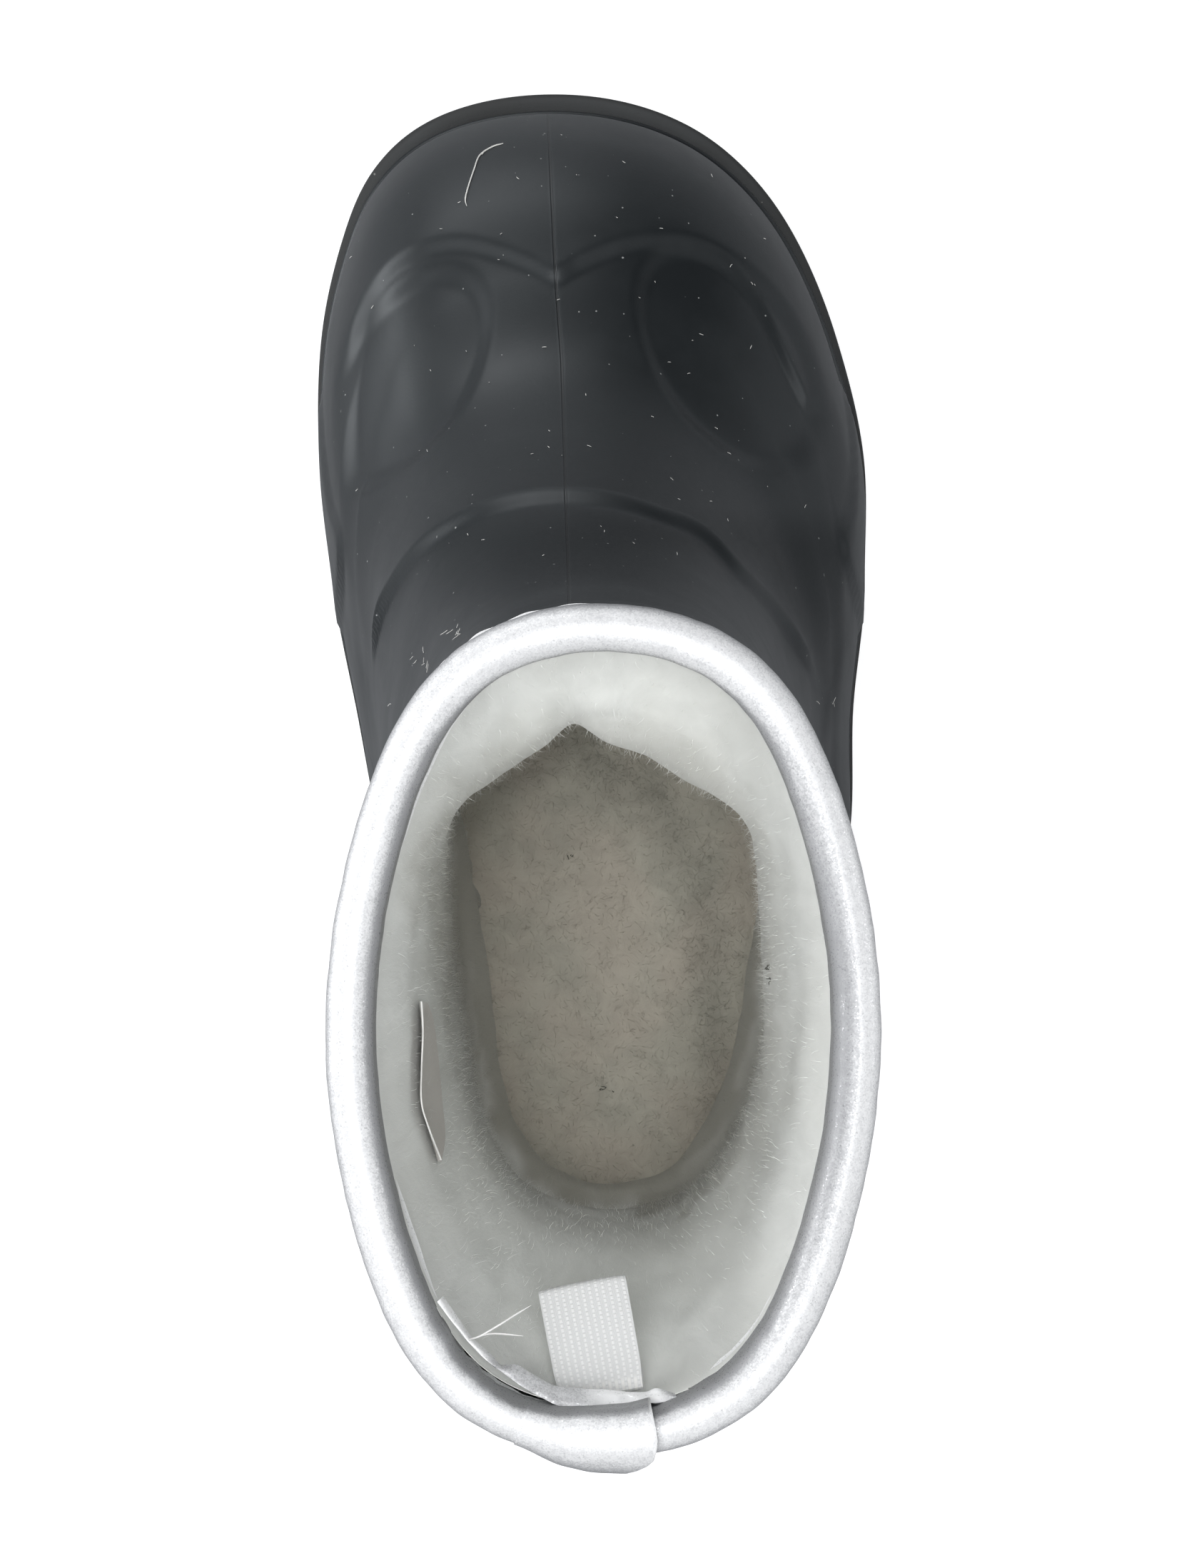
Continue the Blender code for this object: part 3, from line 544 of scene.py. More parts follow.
def makeFibre(name, colour):
    material, tree, shader, place = newMaterial(name, {"Roughness": 0.6})
    streaks = addNoise(tree, place["Object"], 1800.0)
    fill(tree, shader, {"Base Color": addMix(tree, streaks, darker(colour, 0.78), colour)})
    return material


# Smooth woven tape, with a painted highlight in a lighter colour along its raised edge
def makeLabelCloth(name, colour, cut):
    material, tree, shader, place = newMaterial(name, {"Roughness": 0.7, "Sheen Weight": 0.1})
    weave = addWaves(tree, place["UV"], 90.0, 0.5, "Y")
    clouds = addMath(tree, "MULTIPLY", addNoise(tree, place["Object"], 160.0), 0.8)
    face = addMix(tree, addMath(tree, "MULTIPLY_ADD", weave, 0.3, clouds), darker(colour, 0.88), colour)
    # cut: colour of the painted highlight where the label's edge catches the light
    face = addMix(tree, addMark(tree, "edge"), face, cut)
    fill(tree, shader, {"Base Color": face, **addBump(tree, (weave, 0.3, 0.00006))})
    return material


print("materials")
upperRubber = makeRubber("upperRubber", rubberValues["upper"], True)
soleRubber = makeRubber("soleRubber", rubberValues["sole"], False)
liningPile = makePile("liningPile", pileValues["lining"])
footbedPile = makePile("footbedPile", pileValues["footbed"])
reflectiveTape = makeTape("reflectiveTape", tapeValues)
ribbonSatin = makeSatin("ribbonSatin", ribbonValues)
fibreWhite = makeFibre("fibreWhite", (0.62, 0.62, 0.60))
threadGrey = makeFibre("threadGrey", (0.78, 0.78, 0.77))
tuftDark = makeFibre("tuftDark", (0.05, 0.052, 0.042))
# The second colour is a painted highlight for the label's edge
labelCloth = makeLabelCloth("labelCloth", (0.66, 0.63, 0.595), (0.84, 0.84, 0.82))


def addObject(name, data):
    holder = bpy.data.objects.new(name, data)
    bpy.context.scene.collection.objects.link(holder)
    return holder


def ownPiece(name, mesh, material, replaced=(), sharp=50):
    mesh.shade_smooth()
    mesh.set_sharp_from_angle(angle=math.radians(sharp))
    piece = addObject(name, mesh)
    mesh.materials.clear()
    mesh.materials.append(material)
    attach(piece, "root")
    if replaced:
        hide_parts(*replaced)
    return piece


def meshFrom(name, work):
    mesh = bpy.data.meshes.new(name)
    work.to_mesh(mesh)
    work.free()
    return mesh


# A grid whose corners are moved to shape(along, across), both from 0 to 1; edges that meet are joined
def makeSkin(name, values, shape, material, replaced=(), sharp=50, rows=None):
    work = bmesh.new()
    work.loops.layers.uv.new("UVMap")
    rows, columns = rows or values["rows"], values["columns"]
    bmesh.ops.create_grid(work, x_segments=columns, y_segments=rows, size=0.5, calc_uvs=True)
    flat = np.array([vert.co[:2] for vert in work.verts]) + 0.5
    points, marks = shape(flat[:, 1], flat[:, 0])
    points = points + shift
    layers = [(work.verts.layers.float.new(mark), values) for mark, values in marks.items()]
    for index, vert in enumerate(work.verts):
        vert.co = points[index]
        for layer, values in layers:
            vert[layer] = values[index]
    bmesh.ops.remove_doubles(work, verts=work.verts, dist=2e-6)
    bmesh.ops.dissolve_degenerate(work, edges=work.edges, dist=1e-7)
    bmesh.ops.recalc_face_normals(work, faces=work.faces)
    return ownPiece(name, meshFrom(name, work), material, replaced, sharp)


# A piece after change() of its mesh, with its faces turned outward again
def reworked(piece, change):
    work = bmesh.new()
    work.from_mesh(piece.data)
    change(work)
    bmesh.ops.recalc_face_normals(work, faces=work.faces)
    work.to_mesh(piece.data)
    work.free()
    return piece


# A sheet of cloth: the same grid, given a thickness to one side and closed all round
def makeSheet(name, values, shape, material, replaced=(), side=1):
    def thicken(work):
        bmesh.ops.solidify(work, geom=list(work.faces), thickness=side * values["thickness"])

    piece = reworked(makeSkin(name, values, shape, material, replaced, 60), thicken)
    piece.data.set_sharp_from_angle(angle=math.radians(60))
    return piece


# Rows of a skin that goes along the face of a cloth and back along its other side: whether a row is on
# the face, and its share of the way
def foldedRows(along, rows, back):
    row = np.rint(along * rows).astype(int)
    skin = rows - back
    return row <= skin, np.where(row <= skin, row / skin, (rows - row) / back)


# Turns round the boot for a share from 0 to 1, crowded towards the toe
def turnsOf(across, crowding):
    even = across * 2 * math.pi
    return even + crowding * np.sin(even)


# Smooth noise at each point, size in metres
def roughness(points, size, octaves=2, seed=0.0):
    scaled = points / size + seed
    return np.array([noise.fractal(Vector(point), 0.6, 2.0, octaves) for point in scaled])


moulding = {
    "capStep": 0.0010,
    "ovalStep": 0.0009,
    "panelStep": 0.0007,
    "roll": 0.0014,
    "rollLength": 0.006,
    "rib": 0.0005,
    "slope": 0.0009,
    "capEdge": (-1.8, 1.4),
    "ovalEdge": (-1.4, 1.4),
    "panelEdge": (-1.3, 1.3),
    "capStart": (0.50, 0.75),
    "rows": 236,
    "columns": 320,
    "crowding": 0.52,
    "rimRows": 22,
    "rimHeight": 0.0044,
    "footRows": 180,
    "insideRows": 16,
    "partingStart": 0.0036,
    "fade": (0.20, 0.44),
}

# Edges that are drawn across the plan: distance from the parting line as a share of the ball's width,
# share of the length
capRows = np.array([
    (-0.42, 0.740), (-0.39, 0.770), (-0.36, 0.805), (-0.31, 0.838), (-0.24, 0.859), (-0.17, 0.865),
    (-0.10, 0.858), (-0.04, 0.847), (0.00, 0.8385), (0.04, 0.848), (0.10, 0.860), (0.17, 0.868),
    (0.24, 0.866), (0.31, 0.850), (0.37, 0.815), (0.41, 0.770), (0.44, 0.740),
])
instepRows = np.array([
    (-0.38, 0.500), (-0.35, 0.525), (-0.33, 0.558), (-0.295, 0.588), (-0.256, 0.611), (-0.19, 0.634),
    (-0.12, 0.647), (0.00, 0.6546), (0.08, 0.651), (0.15, 0.641), (0.24, 0.620), (0.28, 0.597),
    (0.335, 0.572), (0.40, 0.532), (0.455, 0.500),
])
partingRows = np.array([(-0.094, 1.000), (-0.077, 0.840), (-0.065, 0.770), (-0.057, 0.655), (-0.048, 0.560)])
rimRows = np.array([
    (0.0, 0.45), (0.0006, 0.50), (0.0010, 0.42), (0.0013, 0.05), (0.0016, -0.70), (0.0020, -1.00), (0.0028, -0.95),
    (0.0060, -0.60), (0.0120, 0.0),
]) * (1, 0.001)
panelRows = np.array([(0.545, 0.02), (0.575, 0.26), (0.625, 0.42), (0.660, 0.34), (0.715, 0.22), (0.790, 0.02)])
ovals = {
    "outer": {"across": 0.235, "along": 0.776, "halfLength": 0.0984, "halfWidth": 0.125, "lean": 35},
    "inner": {"across": -0.355, "along": 0.757, "halfLength": 0.0984, "halfWidth": 0.116, "lean": -35},
}


def partingAcross(point):
    return np.interp(point[:, 1] / last["soleLength"], partingRows[::-1, 1], partingRows[::-1, 0])


def aheadOf(rows, point):
    across = point[:, 0] / last["ballWidth"] - partingAcross(point)
    return point[:, 1] - last["soleLength"] * through(rows[:, 0], rows[:, 1], across)


def insideOval(oval, point):
    dx = point[:, 0] - oval["across"] * last["ballWidth"]
    dy = point[:, 1] - oval["along"] * last["soleLength"]
    lean = math.radians(oval["lean"])
    halfWidth = oval["halfWidth"] * last["ballWidth"]
    length = (dx * math.sin(lean) - dy * math.cos(lean)) / (oval["halfLength"] * last["soleLength"])
    width = (dx * math.cos(lean) + dy * math.sin(lean)) / halfWidth
    return (1 - np.hypot(length, width)) * halfWidth


# A step across an edge, which is as wide as these shares of the slope
def stepAt(shares, distance):
    return smoothStep(shares[0] * moulding["slope"], shares[1] * moulding["slope"], distance)


def reliefOf(place, point, rising):
    slope = moulding["slope"]
    share = point[:, 1] / last["soleLength"]
    front = smoothStep(placeOf["lowSide"], placeOf["toeWall"], place)
    below = 1 - smoothStep(placeOf["instep"], placeOf["ankle"], place)
    front = front * below * smoothStep(*moulding["fade"], rising)
    cap = stepAt(moulding["capEdge"], aheadOf(capRows, point))
    out = moulding["capStep"] * (cap - 1) * front * smoothStep(*moulding["capStart"], share)
    for oval in ovals.values():
        out = out - moulding["ovalStep"] * stepAt(moulding["ovalEdge"], insideOval(oval, point)) * front

    ahead = aheadOf(instepRows, point)
    roll = np.exp(-np.maximum(ahead, 0) / moulding["rollLength"]) * smoothStep(-slope, slope, ahead)
    out = out + moulding["roll"] * roll * smoothStep(placeOf["vamp"], placeOf["throat"], place) * below

    base = seat(point[:, 1])
    level = (point[:, 2] - base) / (last["instepHeight"] - base)
    small = 0.005
    top, topAhead = (through(panelRows[:, 0], panelRows[:, 1], at) for at in (share, share + small))
    steepness = (topAhead - top) / small * last["instepHeight"] / last["soleLength"]
    apart = (top - level) * last["instepHeight"] / np.sqrt(1 + steepness ** 2)
    panel = stepAt(moulding["panelEdge"], apart) * smoothStep(0.02, 0.12, top)
    out = out + moulding["panelStep"] * panel * smoothStep(0, placeOf["flare"], place)
    out = out + moulding["rib"] * np.exp(-((place - placeOf["band"]) / slope) ** 2)
    return out + np.interp(point[:, 2] - base, rimRows[:, 0], rimRows[:, 1])


# Where the rubber shines less, in the picture: in front of the collar and along the outer side
calm = {"down": (670, 770), "across": (500, 660), "outer": (800, 900), "outerShare": 0.35, "rising": (0.12, 0.35)}


def calmAt(point, turn, rising):
    across, down = pixelsOf(point).T
    front = smoothStep(*calm["down"], down) * smoothStep(*calm["across"], across)
    outer = calm["outerShare"] * smoothStep(*calm["outer"], across)
    return np.maximum(front, outer) * smoothStep(*calm["rising"], rising) * (np.cos(turn) < 0.3)


def makeUpper():
    rimHeight, rimRows, footRows = moulding["rimHeight"], moulding["rimRows"], moulding["footRows"]
    fine = np.linspace(0, rimHeight, rimRows)
    front = np.linspace(rimHeight, placeOf["ankle"], footRows)
    shaft = np.linspace(placeOf["ankle"], path[-1], moulding["rows"] - footRows - rimRows + 2)
    outer = np.concatenate([fine, front[1:], shaft[1:]])
    inner = np.linspace(path[-1], 0, moulding["insideRows"])
    places = np.concatenate([outer, inner, [0.0]])
    depths = np.concatenate([0 * outer, 0 * inner + last["wall"], [0.0]])

    def shape(along, across):
        row = np.rint(along * (len(places) - 1)).astype(int)
        place, depth = places[row], depths[row]
        turn = turnsOf(across, moulding["crowding"])
        point = smoothUpper(place, turn)
        outside = depth == 0
        normal = upperNormal(place, turn)
        out = np.where(outside, reliefOf(place, point, normal[:, 2]), -depth)
        result = point + normal * out[:, None]
        atRim = (1 - smoothStep(0, placeOf["flare"], place)) * ~outside
        result[:, 2] += (seat(result[:, 1]) - seat(point[:, 1])) * atRim
        toSeam = (point[:, 0] - partingAcross(point) * last["ballWidth"]) * 1000
        ahead = (np.cos(turn) < 0) & outside & (place > moulding["partingStart"])
        parting = np.where(ahead, np.clip(toSeam, -3, 3), 3.0)
        return result, {"parting": parting, "calm": calmAt(result, turn, normal[:, 2])}

    return makeSkin(
        "rubberUpper", moulding, shape, upperRubber, ["upper"], rows=len(places) - 1)


print("upper")
upper = makeUpper()


sole = {
    "archHeight": 0.0055,
    "toeSpring": 0.0070,
    "lugHeight": 0.0035,
    "grooveWidth": 0.0036,
    "groovePitch": 0.0120,
    "chevronRise": 0.0060,
    "channelWidth": 0.0034,
    "draft": 0.0003,
    "columns": 360,
    "rungs": 6,
    "sharp": 32,
}

# Underside: share of the length, share of the arch, share of the toe spring
underRows = np.array([
    (0.000, 0.0, 0.00), (0.290, 0.0, 0.00), (0.315, 0.8, 0.00), (0.360, 1.0, 0.00), (0.430, 0.9, 0.00),
    (0.490, 0.4, 0.00), (0.540, 0.0, 0.00), (0.740, 0.0, 0.00), (0.800, 0.0, 0.09), (0.860, 0.0, 0.27),
    (0.920, 0.0, 0.55), (0.970, 0.0, 0.84), (1.000, 0.0, 1.00),
])

# Side wall, top to bottom: how far it stands in, share of the sole's thickness
sideRows = np.array([
    (0.00110, 1.000), (0.00055, 0.998), (0.00022, 0.986), (0.00005, 0.965), (0.00000, 0.940), (0.00000, 0.800),
    (0.00000, 0.655), (0.00008, 0.632), (0.00035, 0.612), (0.00070, 0.596), (0.00088, 0.578), (0.00094, 0.550),
    (0.00130, 0.350), (0.00180, 0.120), (0.00215, 0.045), (0.00270, 0.000),
])

# Grooves across the tread: first one's place, their number, start and end of the channel
treadRows = [(0.075, 3, 0.035, 0.320), (0.560, 6, 0.500, 0.930)]


def soleUnder(y):
    share = y / last["soleLength"]
    arch = sole["archHeight"] * np.interp(share, underRows[:, 0], underRows[:, 1])
    return arch + sole["toeSpring"] * np.interp(share, underRows[:, 0], underRows[:, 2])


def soleOutline(turn, inset):
    def outline(turn):
        middle, half = footPlan(turn)
        return np.stack([middle + half, last["soleLength"] * (1 - np.cos(turn)) / 2], axis=-1)

    along = outline(turn + 1e-4) - outline(turn - 1e-4)
    outward = np.stack([along[:, 1], -along[:, 0]], axis=-1)
    return outline(turn) - outward / np.linalg.norm(outward, axis=-1, keepdims=True) * inset[:, None]


# A block over an outline that is two quads wide, narrower at its top
def addBlock(work, left, middle, right, depth, low, high):
    made = bmesh.ops.create_grid(work, x_segments=2, y_segments=1, size=0.5)
    corners = sorted(made["verts"], key=lambda vert: (vert.co.y, vert.co.x))
    near = [(x + shift[0], y + shift[1]) for x, y in (left, middle, right)]
    far = [(x, y + depth) for x, y in near]
    for vert, (x, y) in zip(corners, near + far):
        vert.co = (x, y, low)
    faces = list(dict.fromkeys(face for vert in corners for face in vert.link_faces))
    for vert in bmesh.ops.extrude_face_region(work, geom=faces)["geom"]:
        if isinstance(vert, bmesh.types.BMVert):
            atFar = any(math.hypot(vert.co.x - x, vert.co.y - y) < 1e-6 for x, y in far)
            vert.co.y += -sole["draft"] if atFar else sole["draft"]
            vert.co.z = high


def makeCutter(name, blocks):
    work = bmesh.new()
    for block in blocks:
        addBlock(work, *block)
    bmesh.ops.recalc_face_normals(work, faces=work.faces)
    return bpy.data.objects.new(name, meshFrom(name, work))


def makeSole():
    rungs = np.ones(sole["rungs"])
    profile = np.concatenate([rungs * sideRows[0, 0], sideRows[:, 0], rungs * sideRows[-1, 0]])
    height = np.concatenate([rungs, sideRows[:, 1], 0 * rungs])
    inward = np.linspace(0, 1, sole["rungs"], endpoint=False)
    spread = np.concatenate([inward, np.ones(len(sideRows)), inward[::-1]])

    def shape(along, across):
        row = np.rint(along * (len(profile) - 1)).astype(int)
        turn = turnsOf(across, 0.35)
        point = soleOutline(turn, profile[row])
        mirrored = soleOutline(2 * math.pi - turn, profile[row])
        centre = (point + mirrored) / 2
        point = centre + (point - centre) * spread[row][:, None]
        under = soleUnder(point[:, 1])
        top = seat(point[:, 1]) - last["gap"]
        return np.stack([point[:, 0], point[:, 1], under + (top - under) * height[row]], axis=-1), {}

    piece = makeSkin(
        "soleTread", sole, shape, soleRubber, ["outsole"], sole["sharp"], len(profile) - 1)
    reach = last["ballWidth"]
    grooves, channels = [], []
    for start, count, channelStart, channelEnd in treadRows:
        for index in range(count):
            y = start * last["soleLength"] + index * sole["groovePitch"]
            wing = y - sole["chevronRise"] * 2
            high = float(soleUnder(np.array(y - sole["chevronRise"] / 2))) + sole["lugHeight"]
            grooves.append(((-reach, wing), (0.0, y), (reach, wing), sole["grooveWidth"], -sole["lugHeight"], high))
        half = sole["channelWidth"] / 2
        first, length = channelStart * last["soleLength"], (channelEnd - channelStart) * last["soleLength"]
        ends = (-half, first), (0.0, first), (half, first)
        channels.append((*ends, length, -sole["lugHeight"], sole["lugHeight"] * 0.8))
    for cutter in (makeCutter("grooves", grooves), makeCutter("channels", channels)):
        bpy.context.scene.collection.objects.link(cutter)
        cut = piece.modifiers.new(cutter.name, "BOOLEAN")
        cut.operation = "DIFFERENCE"
        cut.solver = "EXACT"
        cut.object = cutter
        evaluated = piece.evaluated_get(bpy.context.evaluated_depsgraph_get())
        mesh = bpy.data.meshes.new_from_object(evaluated)
        piece.modifiers.clear()
        piece.data = mesh
        bpy.data.objects.remove(cutter)
    piece.data.shade_smooth()
    piece.data.set_sharp_from_angle(angle=math.radians(sole["sharp"]))
    return piece


print("sole")
makeSole()


footbed = {
    "thickness": 0.0042,
    "rows": 230,
    "columns": 120,
    "hills": 0.0007,
    "clumps": 0.00035,
    "edge": 0.0012,
    "topShare": 0.75,
    "softEdge": 0.004,
    "rimNoise": 9,
    "rimWidths": (34, 26),
    "shades": {"middle": 0.02, "rim": 0.36, "beyond": 0.10},
}


# Painted shade on the rim of the footbed across the picture, where the pile of the walls lies on it
footbedRim = [
    (632, 1230), (630, 1300), (652, 1390), (664, 1450), (672, 1510), (692, 1565), (716, 1612), (750, 1652),
    (800, 1670), (855, 1680), (890, 1698), (914, 1722), (938, 1712), (962, 1676), (986, 1620), (1000, 1560),
    (1004, 1480), (998, 1400), (994, 1320), (984, 1240), (958, 1180), (922, 1128), (878, 1092), (832, 1062),
    (805, 1036), (776, 1052), (728, 1080), (690, 1106), (660, 1142), (640, 1184),
]


def footbedEdge(turn):
    place = np.zeros_like(turn)
    return smoothUpper(place, turn) - upperNormal(place, turn) * (last["wall"] + last["gap"])


def makeFootbed():
    def shape(along, across):
        turn = turnOfShare(0.5 - 0.5 * np.cos(along * math.pi))
        right = footbedEdge(turn)
        left = footbedEdge(2 * math.pi - turn)
        onTop = across < footbed["topShare"]
        width = np.where(onTop, across / footbed["topShare"], (1 - across) / (1 - footbed["topShare"]))
        point = left + (right - left) * width[:, None]
        inside = np.minimum(width, 1 - width) * (right[:, 0] - left[:, 0])
        inside = np.minimum(inside, np.minimum(along, 1 - along) * last["soleLength"])
        rise = footbed["thickness"] * np.sqrt(np.clip(inside / footbed["edge"], 0.0, 1.0))
        soft = smoothStep(0, footbed["softEdge"], inside)
        bumps = footbed["hills"] * roughness(point, 0.014) + footbed["clumps"] * roughness(point, 0.0034, 2, 4.0)
        point[:, 2] = seat(point[:, 1]) + np.where(onTop, rise + bumps * soft, 0)
        # The deep mark is painted shade: a ring round the rim line, and more beyond it
        apart = fromLine(footbedRim, point)[0] + footbed["rimNoise"] * roughness(point, 0.006, 2, 8.0)
        shades = footbed["shades"]
        rim = shades["rim"] * np.exp(-(apart / np.where(apart < 0, *footbed["rimWidths"])) ** 2)
        return point, {"deep": shades["middle"] + rim + shades["beyond"] * smoothStep(10, 70, apart)}

    return makeSkin("footbedPad", footbed, shape, footbedPile, ["insole"])


print("footbed")
footbedPad = makeFootbed()


lining = {
    "rows": 190,
    "columns": 300,
    "collarPile": 0.0022,
    "thinner": 0.0017,
    "below": 0.0050,
    "footPile": 0.0050,
    "heelPile": 0.0068,
    "backing": 0.0008,
    "bulge": 0.0200,
    "notch": 0.0035,
    "clumps": 0.00012,
    "hills": 0.0004,
    "backRows": 22,
    "deepEnd": 0.01,
    "thinning": (0.028, 0.010),
    "heelShare": (0.35, 0.0),
    "lowLip": 0.0035,
    "lowLipReach": 0.016,
    "lowLipShare": (0.55, 0.8),
    "lip": 0.014,
    "lipReach": 0.026,
    "bulgeEnd": 0.004,
    "bulgeFall": 0.8,
    "bulgeShare": (0.62, 0.97),
    "notchAt": (-0.0036, 0.0032),
    "upright": 0.22,
    "floorNoise": 0.0007,
    "edgeNoise": 16,
    "floorGap": 0.0010,
    "floorShade": 0.80,
    "floorReach": (0.0110, 0.0035),
    "wallShade": 0.80,
    "outerShade": 0.22,
    "crowding": 0.15,
}


# Edge of the lining's opening across the picture, with the width and the strength of the shade round it
openingRows = [
    (803, 1030, 45, 0.40), (860, 1062, 95, 0.38), (960, 1072, 85, 0.36), (1010, 1110, 48, 0.36),
    (1040, 1165, 50, 0.42), (1056, 1240, 52, 0.46), (1064, 1330, 54, 0.50), (1068, 1420, 58, 0.50),
    (1068, 1520, 62, 0.46), (1062, 1600, 50, 0.38), (1030, 1660, 60, 0.28), (980, 1695, 80, 0.22),
    (915, 1722, 80, 0.26), (860, 1670, 80, 0.16), (790, 1650, 90, 0.16), (735, 1630, 100, 0.20),
    (700, 1585, 105, 0.30), (668, 1510, 105, 0.45), (650, 1420, 90, 0.64), (632, 1340, 78, 0.76),
    (622, 1260, 78, 0.76), (630, 1190, 74, 0.68), (655, 1130, 68, 0.58), (700, 1090, 75, 0.46),
    (750, 1065, 85, 0.42),
]


def liningSurface(place, turn, depthOf=1.0):
    share = (1 - np.cos(turn)) / 2
    deep = 1 - smoothStep(placeOf["ankle"], path[-1] - lining["deepEnd"], place)
    pile = lining["collarPile"] + (lining["footPile"] - lining["collarPile"]) * deep
    thick, thin = lining["thinning"]
    pile = pile - lining["thinner"] * smoothStep(path[-1] - thick, path[-1] - thin, place)
    pile = pile + lining["heelPile"] * deep * smoothStep(*lining["heelShare"], share)
    low = 1 - smoothStep(0, lining["lowLipReach"], place)
    pile = pile + lining["lowLip"] * low * (1 - smoothStep(*lining["lowLipShare"], share))
    point = smoothUpper(place, turn)
    normal = upperNormal(place, turn)
    result = point - normal * (last["wall"] + last["gap"] + lining["backing"] + pile * depthOf)[:, None]
    lip = placeOf["instep"] + lining["lip"]
    rising = smoothStep(lip - lining["lipReach"], lip, place)
    falling = 1 - smoothStep(lip, path[-1] - lining["bulgeEnd"], place) ** lining["bulgeFall"]
    profile = np.where(place < lip, rising, falling)
    side = smoothStep(*lining["bulgeShare"], share)
    middle, width = lining["notchAt"]
    notch = lining["notch"] * np.exp(-((result[:, 0] - middle) / width) ** 2)
    result[:, 1] -= (lining["bulge"] - notch) * profile * side * depthOf
    return result, normal


def makeLining():
    def shape(along, across):
        onPile, share = foldedRows(along, lining["rows"], lining["backRows"])
        onPile = onPile | (along == 1)
        top = path[-1] - lining["below"]
        place = top * share
        turn = turnsOf(across, lining["crowding"])
        pileSide, normal = liningSurface(place, turn)
        backSide = liningSurface(place, turn, 0.0)[0]
        upright = pileSide * (1, 1, lining["upright"])
        bumps = lining["hills"] * roughness(pileSide * (1, 1, 0.5), 0.011)
        bumps = bumps + lining["clumps"] * roughness(upright, 0.0030, 2, 7.0)
        calm = 1 - 0.75 * smoothStep(path[-1] - 0.03, path[-1] - 0.008, place)
        ends = smoothStep(0, 0.003, place) * (1 - smoothStep(top - 0.001, top, place))
        pileSide = pileSide + normal * (bumps * calm * ends)[:, None]
        floorLine = seat(np.clip(pileSide[:, 1], 0, last["soleLength"]))
        floorLine = floorLine + footbed["thickness"] - lining["floorGap"]
        floorNoise = lining["floorNoise"] * roughness(pileSide, 0.006, 2, 3.0)
        pileSide[:, 2] = np.maximum(pileSide[:, 2], floorLine + floorNoise)
        backSide[:, 2] = np.maximum(backSide[:, 2], floorLine)
        point = np.where(onPile[:, None], pileSide, backSide)
        # The deep mark is painted shade round the opening's edge, down the walls and near the floor
        apart, values = fromLine(openingRows, point)
        apart = apart + lining["edgeNoise"] * roughness(upright, 0.005, 3, 2.0)
        around = values[:, 1] * (1 - smoothStep(-12, values[:, 0], apart))
        within = lining["wallShade"] - lining["outerShade"] * smoothStep(900, 1010, pixelsOf(point)[:, 0])
        within = within * smoothStep(4, -26, apart)
        overFloor = point[:, 2] - floorLine + 0.0025 * roughness(upright, 0.005, 2, 6.0)
        onFloor = lining["floorShade"] * smoothStep(*lining["floorReach"], overFloor)
        return point, {"deep": np.maximum(np.maximum(around, within), onFloor)}

    return makeSkin("pileLining", lining, shape, liningPile, sharp=180)


print("lining")
pileLining = makeLining()


binding = {
    "tape": 0.0015,
    "depth": 0.0095,
    "rows": 64,
    "columns": 380,
    "pucker": 0.00010,
    "rearPucker": 0.00045,
    "pinch": 0.0008,
    "innerHem": 0.0007,
    "outerHem": 0.0005,
    "leastHem": 0.0002,
    "backRows": 10,
    "waveSize": 0.0045,
    "waveRise": 0.00012,
    "bend": 0.44,
    "gather": 0.0006,
    "hemEdge": (0.955, 0.985),
    "outerShown": (3.0, 3.5, 4.6, 5.4),
    "hemShown": ((2.1, 2.5, 3.9, 4.5), (5.05, 5.3, 5.85, 6.05), (0.35, 0.5, 0.75, 0.95)),
    "pinches": ((-0.42, 0.26, 1.0), (0.02, 0.30, 0.9)),
    "frontTurn": (2.3, 2.9, 3.4, 4.0),
    "outerFade": (0.12, 0.42),
    "innerFade": (0.05, 0.25),
    "rightFade": (-0.45, 0.35),
}


# The tape is pulled tight towards the lap, inside the heel
def pinchAt(turn):
    away = np.mod(turn + math.pi, 2 * math.pi) - math.pi
    return sum(strength * np.exp(-((away - at) / width) ** 2) for at, width, strength in binding["pinches"])


# Fold of the tape over the collar, this thickness away from it, and depth down its sides: offset from
# the middle of the wall and height over its edge
def bindingFold(share, thickness, depth):
    half = last["wall"] / 2 + last["gap"] + thickness
    side = np.abs(share - 0.5) * 2
    bend = binding["bend"]
    angle = np.clip(side / bend, 0, 1) * math.pi / 2
    down = np.clip((side - bend) / (1 - bend), 0, 1)
    offset = half * np.sin(angle) - binding["gather"] * smoothStep(0.5, 1.0, down)
    height = last["gap"] + thickness - half * (1 - np.cos(angle)) - (depth - half) * down
    return np.sign(share - 0.5) * offset, height


def overCollar(turn, offset, height):
    place = path[-1] - np.maximum(-height, 0)
    point, normal = smoothUpper(place, turn), upperNormal(place, turn)
    point[:, 2] += np.maximum(height, 0)
    return point + normal * (offset - last["wall"] / 2)[:, None], normal


# Width of the pale hem at the tape's edges, which is seen here and there
def hemWidth(across, turn, ring, share):
    scallop = 0.5 + 0.5 * roughness(ring, 0.011, 1, 2.0) + 0.35 * np.sin(across * 260)
    outer = np.clip(scallop, 0, 1) * window(*binding["outerShown"], turn)
    inner = binding["innerHem"] * np.clip(0.62 + 1.1 * roughness(ring, 0.028, 1, 5.0), 0.25, 1)
    shown = sum(window(*span, turn) for span in binding["hemShown"])
    return np.where(share > 0.5, binding["leastHem"] + binding["outerHem"] * outer, inner * (0.3 + 1.4 * shown))


